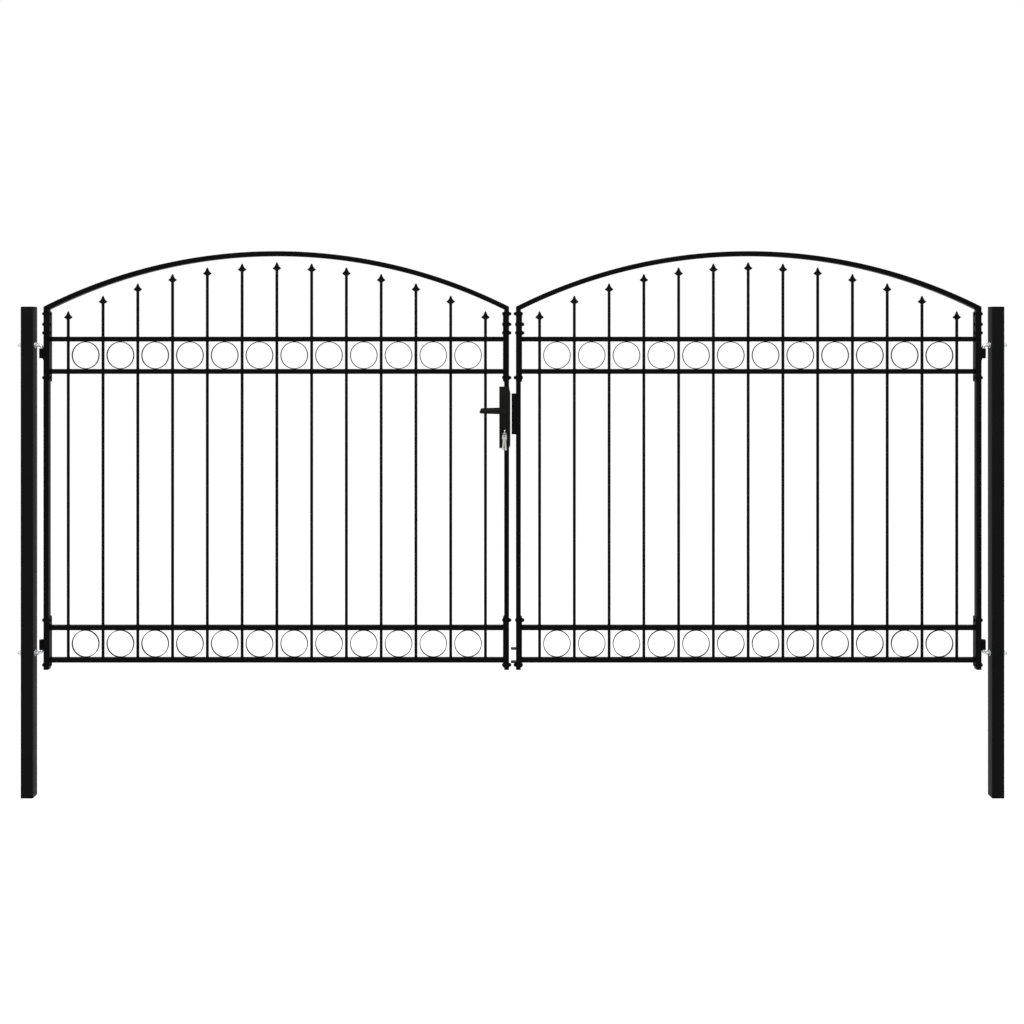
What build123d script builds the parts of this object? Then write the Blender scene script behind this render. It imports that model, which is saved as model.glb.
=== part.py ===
from build123d import *
from math import cos, radians, sin, sqrt, tan
import os

# Double-leaf garden gate of welded and bolted steel tube, hung between two square posts.
# The origin is the centre of the left post's foot: X runs to the right post, Y to the back, Z up.

# Posts
opening_width = 3900.0
post_size = 50.0
post_wall = 3.0
post_corner = 3.0
post_height = 2000.0
foot_plate = 4.0
cap_head = 5.0
cap_plug = 18.0
cap_fit = 0.3
cap_wall = 2.0
cap_bevel = 3.0

# Leaf frames
hinge_gap = 39.0
leaf_gap = 28.0
leaf_side_height = 1480.0
arch_rise = 226.0
frame_width = 20.0
frame_depth = 30.0
frame_wall = 1.5
plug_head = 2.0
plug_reach = 12.0
plug_fit = 0.2

# Rails and the flat bars that carry them on the stiles
rail_size = 20.0
top_rail_drop = 132.5
bottom_rail_rise = 38.0
flat_thickness = 5.0
flat_chamfer = 4.0
upper_flat_top_drop = 19.0
upper_flat_below_rail = 33.0
lower_flat_above_rail = 37.0
lower_flat_bottom_rise = 9.0

# Rings, upright bars and their spearheads
ring_outside = 112.0
ring_strip = 3.0
ring_depth = 8.0
ring_sides = 12
ring_to_bar = 9.0
bar_diameter = 12.0
bar_sides = 6
bar_end_space = 40.0
drill_clearance = 0.1
spear_width = 35.0
spear_height = 35.0
spear_wing_drop = 24.5
spear_waist_drop = 15.0
spear_waist = 16.0
spear_root_drop = 30.0
spear_root_width = 25.0
spear_thickness = 9.0
spear_crown_gap = 24.0
spear_side_gap = 42.0

# Hinges: a barrel welded on the stile, turning on the bent end of a threaded pintle
barrel_diameter = 22.0
barrel_sides = 16
barrel_length = 40.0
pintle_diameter = 12.0
pintle_sides = 8
running_clearance = 0.05
upper_hinge_drop = 171.0
lower_hinge_rise = 80.0
pintle_bend = 12.0
pintle_end_proud = 20.0
pintle_tip_gap = 2.0
shoulder_inset = 2.0
shoulder_thickness = 1.8
shoulder_gap = 0.3
pintle_hole_clearance = 0.5

# Lock on the left leaf
lock_plate_thickness = 3.0
lock_plate_corner = 3.0
lock_overhang = 5.0
top_slant = 28.0
bottom_slant = 12.0
lock_to_flat = 19.0
lock_case_inset = 1.0
lock_case_end_inset = 7.0
lock_case_wall = 1.5
backset = 18.0
plate_beyond_spindle = 22.0
plate_above_spindle = 99.0
plate_below_key = 58.0
spindle_square = 8.0
spindle_to_key = 93.0
neck_diameter = 16.0
neck_sides = 16
case_hole_clearance = 1.0
cylinder_round = 17.0
cylinder_sides = 16
cylinder_leg = 10.0
cylinder_height = 33.0
cylinder_length = 50.0
cylinder_clearance = 0.2
cylinder_wall = 2.0

# Lever handles
lever_length = 101.0
lever_root_height = 21.0
lever_tip_height = 15.0
lever_thickness = 13.0
lever_proud = 52.0
lever_edge = 3.0

# Keys: one in the cylinder and two spares on its ring
key_thickness = 2.2
key_slot_clearance = 0.1
key_blade_height = 8.0
key_blade_length = 26.0
key_shoulder_gap = 2.0
key_bow_diameter = 26.0
key_bow_hole = 8.0
key_sides = 12
key_bow_rise = 8.0
key_hole_inset = 5.5
key_ring_outside = 19.0
key_ring_wire = 1.6
spare_bow_diameter = 22.0
spare_bow_hole_inset = 6.0
spare_length = 60.0
spare_blade_width = 8.0
spare_spacing = 4.4
spare_swing = 17.0
spare_turn = 38.0
hang_gap = 1.0

# Keeper and drop-bolt guides on the right leaf
keeper_gap = 5.2
keeper_above_spindle = 71.0
keeper_below_spindle = 95.0
keeper_wall = 3.0
keeper_pocket_width = 16.0
latch_pocket_height = 24.0
bolt_pocket_height = 40.0
bolt_pocket_drop = 52.5
guide_gap = 7.0
guide_thickness = 4.0
guide_corner = 4.0
upper_guide_rise = 84.0
lower_guide_rise = 30.0
guide_bore = 12.0

# Derived places
right_post_x = opening_width + post_size
gate_centre = right_post_x / 2
leaf_width = (opening_width - 2 * hinge_gap - leaf_gap) / 2
leaf_top = post_height
leaf_bottom = leaf_top - leaf_side_height
arch_crown = leaf_top + arch_rise
arch_outer = ((leaf_width / 2) ** 2 + arch_rise**2) / (2 * arch_rise)
arch_inner = arch_outer - frame_width
barrel_radius = barrel_diameter / 2
pintle_radius = pintle_diameter / 2
upper_barrel_bottom = leaf_top - upper_hinge_drop - barrel_length
lower_barrel_bottom = leaf_bottom + lower_hinge_rise
upper_shank_height = upper_barrel_bottom + barrel_length + shoulder_gap + shoulder_thickness + pintle_bend
lower_shank_height = lower_barrel_bottom - shoulder_gap - shoulder_thickness - pintle_bend
ring_radius = ring_outside / 2
rail_pitch = ring_outside + rail_size
bottom_rail_centre = leaf_bottom + bottom_rail_rise
top_rail_centre = leaf_top - top_rail_drop
rail_centres = [
    bottom_rail_centre,
    bottom_rail_centre + rail_pitch,
    top_rail_centre - rail_pitch,
    top_rail_centre,
]
ring_rows = {"lower": bottom_rail_centre + rail_pitch / 2, "upper": top_rail_centre - rail_pitch / 2}
upper_flat_top = leaf_top - upper_flat_top_drop
upper_flat_bottom = rail_centres[2] - rail_size / 2 - upper_flat_below_rail
lower_flat_top = rail_centres[1] + rail_size / 2 + lower_flat_above_rail
lower_flat_bottom = leaf_bottom + lower_flat_bottom_rise
half_rail = leaf_width / 2 - frame_width - flat_thickness
bar_pitch = ring_outside + bar_diameter + 2 * ring_to_bar
bar_count = int(2 * (half_rail - bar_end_space) / bar_pitch) + 1
bar_offsets = [bar_pitch * (i - (bar_count - 1) / 2) for i in range(bar_count)]
ring_offsets = [bar_pitch * (i - (bar_count - 2) / 2) for i in range(bar_count - 1)]

LEFT = 1
RIGHT = -1
side_names = {LEFT: "left", RIGHT: "right"}

os.makedirs("parts", exist_ok=True)


def save(builder, name):
    """Labels a finished piece and writes it."""
    builder.part.label = name
    export_step(builder.part, f"parts/{name}.step")


def leaf_x(side, inward):
    """X of a point that lies so far in from the hinge edge of a leaf."""
    return gate_centre - side * (leaf_gap / 2 + leaf_width - inward)


def arc_height(radius, crown, offset):
    """Height of an arc with its crown over the leaf's centre, at a sideways offset."""
    return crown - radius + sqrt(radius**2 - offset**2)


def post_x(side):
    """X of a post's centre."""
    return 0.0 if side == LEFT else right_post_x


def make_post(side):
    """Square tube with a closed foot and holes for the two pintles."""
    x = post_x(side)
    tube_height = post_height - cap_head
    with BuildPart() as post:
        with BuildSketch(Plane(origin=(x, 0, 0))) as outline:
            Rectangle(post_size, post_size)
            chamfer(outline.vertices(), post_corner)
        extrude(amount=tube_height)
        with BuildSketch(Plane(origin=(x, 0, foot_plate))):
            Rectangle(post_size - 2 * post_wall, post_size - 2 * post_wall)
        extrude(amount=tube_height, mode=Mode.SUBTRACT)
        for height in (upper_shank_height, lower_shank_height):
            with BuildSketch(Plane(origin=(x, 0, height), z_dir=(1, 0, 0))):
                RegularPolygon(pintle_radius + pintle_hole_clearance, pintle_sides)
            extrude(amount=post_size, both=True, mode=Mode.SUBTRACT)
    save(post, f"{side_names[side]}_post")


def make_post_cap(side):
    """Moulded cap: a bevelled head on the tube's end and a hollow plug inside it."""
    x = post_x(side)
    seat = post_height - cap_head
    plug_size = post_size - 2 * post_wall - 2 * cap_fit
    with BuildPart() as cap:
        with BuildSketch(Plane(origin=(x, 0, seat))) as outline:
            Rectangle(post_size, post_size)
            chamfer(outline.vertices(), post_corner)
        extrude(amount=cap_head)
        chamfer(cap.faces().sort_by(Axis.Z)[-1].edges(), cap_bevel)
        with BuildSketch(Plane(origin=(x, 0, seat))):
            Rectangle(plug_size, plug_size)
            Rectangle(plug_size - 2 * cap_wall, plug_size - 2 * cap_wall, mode=Mode.SUBTRACT)
        extrude(amount=-cap_plug)
    save(cap, f"{side_names[side]}_post_cap")


def make_pintles(side):
    """Threaded shanks through the post, bent down at the top hinge and up at the bottom one."""
    hinge = leaf_x(side, -barrel_radius)
    outer_end = post_x(side) - side * (post_size / 2 + pintle_end_proud)
    upper_tip = upper_barrel_bottom + pintle_tip_gap
    lower_tip = lower_barrel_bottom + barrel_length - pintle_tip_gap
    upper_shoulder = upper_barrel_bottom + barrel_length + shoulder_gap
    lower_shoulder = lower_barrel_bottom - shoulder_gap
    with BuildPart() as pintles:
        for shank, tip, shoulder in (
            (upper_shank_height, upper_tip, upper_shoulder),
            (lower_shank_height, lower_tip, lower_shoulder),
        ):
            with BuildLine():
                FilletPolyline(
                    (outer_end, 0, shank),
                    (hinge, 0, shank),
                    (hinge, 0, shoulder),
                    radius=pintle_bend,
                )
            with BuildSketch(Plane(origin=(outer_end, 0, shank), z_dir=(side, 0, 0))):
                RegularPolygon(pintle_radius, pintle_sides)
            sweep()
            with BuildSketch(Plane(origin=(hinge, 0, shoulder))):
                RegularPolygon(barrel_radius - shoulder_inset, barrel_sides)
            extrude(amount=-shoulder_thickness if tip > shoulder else shoulder_thickness)
            with BuildSketch(Plane(origin=(hinge, 0, shoulder))):
                Circle(pintle_radius)
            extrude(amount=tip - shoulder)
    save(pintles, f"{side_names[side]}_pintles")


def make_arch(side):
    """Curved top tube, mitred onto both stiles."""
    middle = leaf_x(side, leaf_width / 2)
    half = leaf_width / 2
    inside = half - frame_width
    inner_crown = arch_crown - frame_width
    corner = arc_height(arch_inner, inner_crown, inside)
    with BuildPart() as arch:
        with BuildSketch(Plane(origin=(middle, 0, 0), x_dir=(1, 0, 0), z_dir=(0, -1, 0))):
            with BuildLine():
                ThreePointArc((-half, leaf_top), (0, arch_crown), (half, leaf_top))
                Line((half, leaf_top), (inside, corner))
                ThreePointArc((inside, corner), (0, inner_crown), (-inside, corner))
                Line((-inside, corner), (-half, leaf_top))
            make_face()
        extrude(amount=frame_depth / 2, both=True)
    save(arch, f"{side_names[side]}_arch")


def stile_tube(side, outer_edge, inner_edge, gap_low=None, gap_high=None):
    """Stile profile between two inward distances, mitred at the top, cut out between two heights."""
    outer_x = leaf_x(side, outer_edge)
    inner_x = leaf_x(side, inner_edge)
    inset = leaf_width / 2 - frame_width
    corner = arc_height(arch_inner, arch_crown - frame_width, inset)
    foot = leaf_bottom + plug_head
    middle = (outer_x + inner_x) / 2
    with BuildPart() as stile:
        with BuildSketch(Plane.XZ):
            with BuildLine():
                Polyline((outer_x, foot), (inner_x, foot), (inner_x, corner), (outer_x, leaf_top), close=True)
            make_face()
        extrude(amount=frame_depth / 2, both=True)
        with BuildSketch(Plane(origin=(middle, 0, foot))):
            Rectangle(frame_width - 2 * frame_wall, frame_depth - 2 * frame_wall)
        extrude(amount=leaf_side_height, mode=Mode.SUBTRACT)
        if gap_low is not None:
            with BuildSketch(Plane(origin=(middle, 0, gap_low))):
                Rectangle(2 * frame_width, 2 * frame_depth)
            extrude(amount=gap_high - gap_low, mode=Mode.SUBTRACT)
    return stile


def make_stiles(side):
    """Hinge stile and meeting stile. The lock case interrupts the left leaf's meeting stile."""
    name = side_names[side]
    save(stile_tube(side, 0, frame_width), f"{name}_hinge_stile")
    outer, inner = leaf_width, leaf_width - frame_width
    if side == LEFT:
        case_low = lock_bottom + lock_case_end_inset
        case_high = lock_top - lock_case_end_inset
        save(stile_tube(side, outer, inner, case_low, case_high), f"{name}_meeting_stile")
    else:
        save(stile_tube(side, outer, inner), f"{name}_meeting_stile")


def make_stile_plugs(side):
    """Moulded plugs that close the stiles' lower ends."""
    seat = leaf_bottom + plug_head
    plug_width = frame_width - 2 * frame_wall - 2 * plug_fit
    plug_depth = frame_depth - 2 * frame_wall - 2 * plug_fit
    with BuildPart() as plugs:
        for inward in (frame_width / 2, leaf_width - frame_width / 2):
            x = leaf_x(side, inward)
            with BuildSketch(Plane(origin=(x, 0, seat))):
                Rectangle(frame_width, frame_depth)
            extrude(amount=-plug_head)
            with BuildSketch(Plane(origin=(x, 0, seat))):
                Rectangle(plug_width, plug_depth)
            extrude(amount=plug_reach)
    save(plugs, f"{side_names[side]}_stile_plugs")


def make_end_flats(side):
    """Flat bars on the stiles' inner faces that carry the rails, their free edges cut off at the ends."""
    with BuildPart() as flats:
        for inward in (frame_width, leaf_width - frame_width - flat_thickness):
            x = leaf_x(side, inward + flat_thickness / 2)
            free_side = 1 if x < leaf_x(side, leaf_width / 2) else -1
            for low, high in ((upper_flat_bottom, upper_flat_top), (lower_flat_bottom, lower_flat_top)):
                seat_x = x - free_side * flat_thickness / 2
                free_x = x + free_side * flat_thickness / 2
                with BuildSketch(Plane.XZ):
                    with BuildLine():
                        Polyline(
                            (seat_x, low),
                            (free_x, low + flat_chamfer),
                            (free_x, high - flat_chamfer),
                            (seat_x, high),
                            close=True,
                        )
                    make_face()
                extrude(amount=frame_depth / 2, both=True)
    save(flats, f"{side_names[side]}_end_flats")


def bar_section(clearance, mode):
    """Outline of a bar with its flats to the sides, or of the hole that it passes through."""
    return RegularPolygon(bar_diameter / 2 + clearance, bar_sides, major_radius=False, rotation=90, mode=mode)


def make_rails(side):
    """Four cross rails between the end flats, drilled for the bars. The bars stand on the lowest."""
    middle = leaf_x(side, leaf_width / 2)
    for name, height in zip(("bottom", "low", "high", "top"), rail_centres):
        with BuildPart() as rail:
            with BuildSketch(Plane(origin=(middle, 0, height - rail_size / 2))):
                Rectangle(2 * half_rail, rail_size)
                if height > bottom_rail_centre:
                    with Locations([(offset, 0) for offset in bar_offsets]):
                        bar_section(drill_clearance, Mode.SUBTRACT)
            extrude(amount=rail_size)
        save(rail, f"{side_names[side]}_{name}_rail")


def make_rings(side):
    """Two rows of rings of flat strip, one between each pair of bars, held by the rails above and below."""
    middle = leaf_x(side, leaf_width / 2)
    turn = 90 - 180 / ring_sides
    for row, height in ring_rows.items():
        with BuildPart() as rings:
            with BuildSketch(Plane(origin=(middle, 0, height), x_dir=(1, 0, 0), z_dir=(0, -1, 0))):
                with Locations([(offset, 0) for offset in ring_offsets]):
                    RegularPolygon(ring_radius, ring_sides, major_radius=False, rotation=turn)
                    RegularPolygon(
                        ring_radius - ring_strip,
                        ring_sides,
                        major_radius=False,
                        rotation=turn,
                        mode=Mode.SUBTRACT,
                    )
            extrude(amount=ring_depth / 2, both=True)
        save(rings, f"{side_names[side]}_{row}_rings")


def spear_tip_height(offset):
    """Height of a spearhead's tip: an arc that leaves one gap under the arch's crown and one at the sides."""
    inner_crown = arch_crown - frame_width
    reach = bar_offsets[-1]
    crown = inner_crown - spear_crown_gap
    side = arc_height(arch_inner, inner_crown, reach) - spear_side_gap
    drop = crown - side
    radius = (reach**2 + drop**2) / (2 * drop)
    return arc_height(radius, crown, offset)


def make_bars(side):
    """Upright bars from the bottom rail to their spearheads."""
    middle = leaf_x(side, leaf_width / 2)
    foot = bottom_rail_centre + rail_size / 2
    with BuildPart() as bars:
        for offset in bar_offsets:
            with BuildSketch(Plane(origin=(middle + offset, 0, foot))):
                bar_section(0, Mode.ADD)
            extrude(amount=spear_tip_height(offset) - spear_height - foot)
    save(bars, f"{side_names[side]}_bars")


def make_spearheads(side):
    """Flat cast spearheads with hollow flanks and two side points, one on each bar."""
    middle = leaf_x(side, leaf_width / 2)
    wing = spear_width / 2
    waist = spear_waist / 2
    bar = bar_diameter / 2
    with BuildPart() as spears:
        for offset in bar_offsets:
            tip = spear_tip_height(offset)
            foot = tip - spear_height
            with BuildSketch(Plane(origin=(middle + offset, 0, 0), x_dir=(1, 0, 0), z_dir=(0, -1, 0))):
                with BuildLine():
                    Polyline(
                        (0, tip),
                        (waist, tip - spear_waist_drop),
                        (wing, tip - spear_wing_drop),
                        (spear_root_width / 2, tip - spear_root_drop),
                        (bar, foot),
                        (0, foot),
                    )
                    mirror(about=Plane.YZ)
                make_face()
            extrude(amount=spear_thickness / 2, both=True)
    save(spears, f"{side_names[side]}_spearheads")


def make_barrels(side):
    """Hinge barrels on the hinge stile's outer face."""
    x = leaf_x(side, -barrel_radius)
    with BuildPart() as barrels:
        for bottom in (upper_barrel_bottom, lower_barrel_bottom):
            with BuildSketch(Plane(origin=(x, 0, bottom))):
                RegularPolygon(barrel_radius, barrel_sides, major_radius=False, rotation=180 / barrel_sides)
                Circle(pintle_radius + running_clearance, mode=Mode.SUBTRACT)
            extrude(amount=barrel_length)
    save(barrels, f"{side_names[side]}_barrels")


# Lock places, on the left leaf
lock_plate_width = lock_overhang + backset + plate_beyond_spindle
lock_plate_height = plate_above_spindle + spindle_to_key + plate_below_key
lock_edge_x = leaf_x(LEFT, leaf_width + lock_overhang)
lock_top = upper_flat_bottom - lock_to_flat
lock_bottom = lock_top - lock_plate_height
spindle_x = leaf_x(LEFT, leaf_width - backset)
spindle_height = lock_top - plate_above_spindle
key_height = spindle_height - spindle_to_key
key_plug_diameter = cylinder_round - 2 * cylinder_wall
plate_seat = frame_depth / 2
plate_face = plate_seat + lock_plate_thickness
cylinder_radius = cylinder_round / 2
key_turn = 90 - 180 / key_sides


def cylinder_profile(clearance):
    """Sketch of the lock cylinder's round head and straight leg, drawn round the key's axis."""
    head = cylinder_radius + clearance
    leg_half = cylinder_leg / 2 + clearance
    leg_drop = cylinder_height - cylinder_radius + clearance
    with BuildSketch(Plane.XY) as profile:
        RegularPolygon(head, cylinder_sides, major_radius=False)
        with Locations((0, -leg_drop / 2)):
            Rectangle(2 * leg_half, leg_drop)
    return profile.sketch


def forend_profile(edge_x, width, low, high):
    """Outline of the lock, from its free edge inward, with that edge slanted back at both ends."""
    with BuildSketch(Plane.XY) as profile:
        with BuildLine():
            Polyline(
                (edge_x - width, low),
                (edge_x - lock_overhang, low),
                (edge_x, low + bottom_slant),
                (edge_x, high - top_slant),
                (edge_x - lock_overhang, high),
                (edge_x - width, high),
                close=True,
            )
        make_face()
    return profile.sketch


def make_lock_plates():
    """Long plates on both faces of the lock case, bored for the lever's neck and cut for the cylinder."""
    for name, seat, outward in (("lock_plate_front", -plate_seat, -1), ("lock_plate_back", plate_seat, 1)):
        with BuildPart() as plate:
            with BuildSketch(Plane(origin=(0, seat, 0), x_dir=(1, 0, 0), z_dir=(0, -1, 0))) as outline:
                add(forend_profile(lock_edge_x, lock_plate_width, lock_bottom, lock_top))
                chamfer(outline.vertices().group_by(Axis.X)[0], lock_plate_corner)
                with Locations((spindle_x, spindle_height)):
                    RegularPolygon(
                        neck_diameter / 2 + running_clearance,
                        neck_sides,
                        major_radius=False,
                        mode=Mode.SUBTRACT,
                    )
                with Locations((spindle_x, key_height)):
                    add(cylinder_profile(cylinder_clearance), mode=Mode.SUBTRACT)
            extrude(amount=-outward * lock_plate_thickness)
        save(plate, name)


def make_lock_case():
    """Lock housing that takes the stile's place, open where the spindle and the cylinder pass."""
    case_edge = lock_edge_x - lock_case_inset
    width = lock_plate_width - 2 * lock_case_inset
    low = lock_bottom + lock_case_end_inset
    high = lock_top - lock_case_end_inset
    with BuildPart() as case:
        with BuildSketch(Plane(origin=(0, 0, 0), x_dir=(1, 0, 0), z_dir=(0, -1, 0))):
            add(forend_profile(case_edge, width, low, high))
        extrude(amount=frame_depth / 2, both=True)
        with BuildSketch(Plane(origin=(0, 0, 0), x_dir=(1, 0, 0), z_dir=(0, -1, 0))):
            with Locations((case_edge - lock_overhang - (width - lock_overhang) / 2, (low + high) / 2)):
                Rectangle(width - lock_overhang - 2 * lock_case_wall, high - low - 2 * lock_case_wall)
        extrude(amount=frame_depth / 2 - lock_case_wall, both=True, mode=Mode.SUBTRACT)
        with BuildSketch(Plane(origin=(0, 0, 0), x_dir=(1, 0, 0), z_dir=(0, -1, 0))):
            with Locations((spindle_x, spindle_height)):
                Rectangle(neck_diameter + 2 * case_hole_clearance, neck_diameter + 2 * case_hole_clearance)
            with Locations((spindle_x, key_height - (cylinder_height - cylinder_round) / 2)):
                Rectangle(cylinder_round + 2 * case_hole_clearance, cylinder_height + 2 * case_hole_clearance)
        extrude(amount=frame_depth, both=True, mode=Mode.SUBTRACT)
    save(case, "lock_case")


def make_lock_cylinder():
    """Cylinder body, bored for the plug that the key turns."""
    with BuildPart() as cylinder:
        with BuildSketch(Plane(origin=(0, 0, 0), x_dir=(1, 0, 0), z_dir=(0, -1, 0))):
            with Locations((spindle_x, key_height)):
                add(cylinder_profile(0))
                RegularPolygon(
                    key_plug_diameter / 2 + running_clearance,
                    cylinder_sides,
                    major_radius=False,
                    mode=Mode.SUBTRACT,
                )
        extrude(amount=cylinder_length / 2, both=True)
    save(cylinder, "lock_cylinder")


def make_key_plug():
    """Plug with the slot that the key's blade fills."""
    slot_width = key_thickness + 2 * key_slot_clearance
    slot_height = key_blade_height + 2 * key_slot_clearance
    with BuildPart() as plug:
        with BuildSketch(Plane(origin=(0, 0, 0), x_dir=(1, 0, 0), z_dir=(0, -1, 0))):
            with Locations((spindle_x, key_height)):
                RegularPolygon(key_plug_diameter / 2, cylinder_sides)
        extrude(amount=cylinder_length / 2, both=True)
        with BuildSketch(Plane(origin=(0, -cylinder_length / 2, 0), x_dir=(1, 0, 0), z_dir=(0, -1, 0))):
            with Locations((spindle_x, key_height)):
                Rectangle(slot_width, slot_height)
        extrude(amount=-key_blade_length, mode=Mode.SUBTRACT)
    save(plug, "key_plug")


def make_key():
    """Key in the cylinder: blade, and a round bow standing on edge."""
    blade_tip = -cylinder_length / 2 + key_blade_length - key_shoulder_gap
    bow_y = -cylinder_length / 2 - key_shoulder_gap - key_bow_diameter / 2
    with BuildPart() as key:
        with BuildSketch(Plane(origin=(spindle_x, 0, 0), x_dir=(0, 1, 0), z_dir=(1, 0, 0))):
            with Locations((bow_y, key_height + key_bow_rise)):
                RegularPolygon(key_bow_diameter / 2, key_sides, rotation=key_turn)
            with Locations(((blade_tip + bow_y) / 2, key_height)):
                Rectangle(blade_tip - bow_y, key_blade_height)
            with Locations((bow_y - key_hole_inset, key_height + key_bow_rise)):
                RegularPolygon(
                    key_bow_hole / 2, key_sides, major_radius=False, rotation=key_turn, mode=Mode.SUBTRACT
                )
        extrude(amount=key_thickness / 2, both=True)
    save(key, "key")


def hang_drop(lean):
    """Drop from a bow hole's centre to a ring that crosses it and leans so far from the hole's axis."""
    half_passage = (key_thickness * tan(lean) + key_ring_wire / cos(lean)) / 2 + hang_gap
    return sqrt((key_bow_hole / 2) ** 2 - half_passage**2) - key_ring_wire / 2


def make_spare_keys():
    """Two spare keys on the ring that hangs from the key's bow."""
    ring_y = -cylinder_length / 2 - key_shoulder_gap - key_bow_diameter / 2 - key_hole_inset
    ring_middle = (key_ring_outside - key_ring_wire) / 2
    turn = radians(spare_turn)
    ring_z = key_height + key_bow_rise - hang_drop(0) - ring_middle
    hang_z = ring_z - ring_middle - hang_drop(radians(90 - spare_turn))
    bow = spare_bow_diameter / 2
    hole_drop = bow - spare_bow_hole_inset
    blade = spare_length - bow
    with BuildPart() as spares:
        with BuildSketch(Plane(origin=(spindle_x, ring_y, ring_z), x_dir=(1, 0, 0), z_dir=(0, -1, 0))):
            RegularPolygon(key_ring_outside / 2, key_sides, major_radius=False, rotation=key_turn)
            RegularPolygon(
                key_ring_outside / 2 - key_ring_wire,
                key_sides,
                major_radius=False,
                rotation=key_turn,
                mode=Mode.SUBTRACT,
            )
        extrude(amount=key_ring_wire / 2, both=True)
        for place, swing in ((-spare_spacing / 2, -spare_swing), (spare_spacing / 2, 0)):
            lean = radians(swing)
            across = (cos(turn) * cos(lean), sin(turn) * cos(lean), sin(lean))
            hang_point = (spindle_x + place, ring_y, hang_z)
            with BuildSketch(Plane(origin=hang_point, x_dir=across, z_dir=(sin(turn), -cos(turn), 0))):
                with Locations((0, -hole_drop)):
                    RegularPolygon(bow, key_sides, rotation=key_turn)
                with Locations((0, -hole_drop - blade / 2)):
                    Rectangle(spare_blade_width, blade)
                RegularPolygon(
                    key_bow_hole / 2, key_sides, major_radius=False, rotation=key_turn, mode=Mode.SUBTRACT
                )
            extrude(amount=key_thickness / 2, both=True)
    save(spares, "spare_keys")


def make_levers():
    """Tapered lever on a round neck, front and back, on one square spindle."""
    for name, outward in (("lever_front", -1), ("lever_back", 1)):
        grip_inner = plate_face + lever_proud - lever_thickness
        with BuildPart() as lever:
            with BuildSketch(Plane(origin=(0, outward * plate_seat, 0), x_dir=(1, 0, 0), z_dir=(0, -1, 0))):
                with Locations((spindle_x, spindle_height)):
                    RegularPolygon(neck_diameter / 2, neck_sides)
            extrude(amount=-outward * (grip_inner - plate_seat))
            with BuildSketch(Plane(origin=(0, outward * grip_inner, 0), x_dir=(1, 0, 0), z_dir=(0, -1, 0))):
                with Locations((spindle_x, spindle_height)):
                    RegularPolygon(lever_root_height / 2, neck_sides)
                with Locations((spindle_x - lever_length + lever_tip_height / 2, spindle_height)):
                    RegularPolygon(lever_tip_height / 2, neck_sides)
                make_hull()
            extrude(amount=-outward * lever_thickness)
            outer_face = lever.faces().sort_by(Axis.Y)[-1 if outward > 0 else 0]
            chamfer(outer_face.edges(), lever_edge)
        save(lever, name)
    with BuildPart() as spindle:
        with BuildSketch(Plane(origin=(0, 0, 0), x_dir=(1, 0, 0), z_dir=(0, -1, 0))):
            with Locations((spindle_x, spindle_height)):
                Rectangle(spindle_square, spindle_square)
        extrude(amount=plate_seat, both=True)
    save(spindle, "lever_spindle")


def make_keeper():
    """Box on the right leaf's meeting stile with pockets for the latch and the bolt."""
    stile_x = leaf_x(RIGHT, leaf_width)
    keeper_edge = lock_edge_x + keeper_gap
    width = stile_x - keeper_edge
    middle_height = spindle_height + (keeper_above_spindle - keeper_below_spindle) / 2
    with BuildPart() as keeper:
        with BuildSketch(Plane.XZ):
            with Locations(((stile_x + keeper_edge) / 2, middle_height)):
                Rectangle(width, keeper_above_spindle + keeper_below_spindle)
        extrude(amount=frame_depth / 2, both=True)
        with BuildSketch(Plane(origin=(keeper_edge, 0, 0), x_dir=(0, 1, 0), z_dir=(1, 0, 0))):
            with Locations((0, spindle_height)):
                Rectangle(keeper_pocket_width, latch_pocket_height)
            with Locations((0, spindle_height - bolt_pocket_drop)):
                Rectangle(keeper_pocket_width, bolt_pocket_height)
        extrude(amount=width - keeper_wall, mode=Mode.SUBTRACT)
    save(keeper, "keeper")


def make_bolt_guides():
    """Two drilled lugs on the right leaf's meeting stile, one above the other, that guide a drop bolt."""
    stile_x = leaf_x(RIGHT, leaf_width)
    guide_length = leaf_gap - guide_gap
    with BuildPart() as guides:
        for rise in (upper_guide_rise, lower_guide_rise):
            foot = leaf_bottom + rise - guide_thickness / 2
            with BuildSketch(Plane(origin=(stile_x - guide_length / 2, 0, foot))):
                Rectangle(guide_length, frame_depth)
                Circle(guide_bore / 2, mode=Mode.SUBTRACT)
            extrude(amount=guide_thickness)
        free_corners = guides.edges().filter_by(Axis.Z).group_by(Axis.X)[0]
        chamfer(free_corners, guide_corner)
    save(guides, "bolt_guides")


def make_gate():
    """Every piece of the gate."""
    for side in (LEFT, RIGHT):
        make_post(side)
        make_post_cap(side)
        make_pintles(side)
        make_arch(side)
        make_stiles(side)
        make_stile_plugs(side)
        make_end_flats(side)
        make_rails(side)
        make_rings(side)
        make_bars(side)
        make_spearheads(side)
        make_barrels(side)
    make_lock_plates()
    make_lock_case()
    make_lock_cylinder()
    make_key_plug()
    make_key()
    make_spare_keys()
    make_levers()
    make_keeper()
    make_bolt_guides()


make_gate()
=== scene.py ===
"""Looks of the double-leaf garden gate: its pieces, finishes, light and camera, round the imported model."""
import logging
import math
from contextlib import contextmanager
from dataclasses import dataclass, replace
from enum import Enum
from typing import Any, Callable, Iterator, Optional, Sequence, Union

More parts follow.
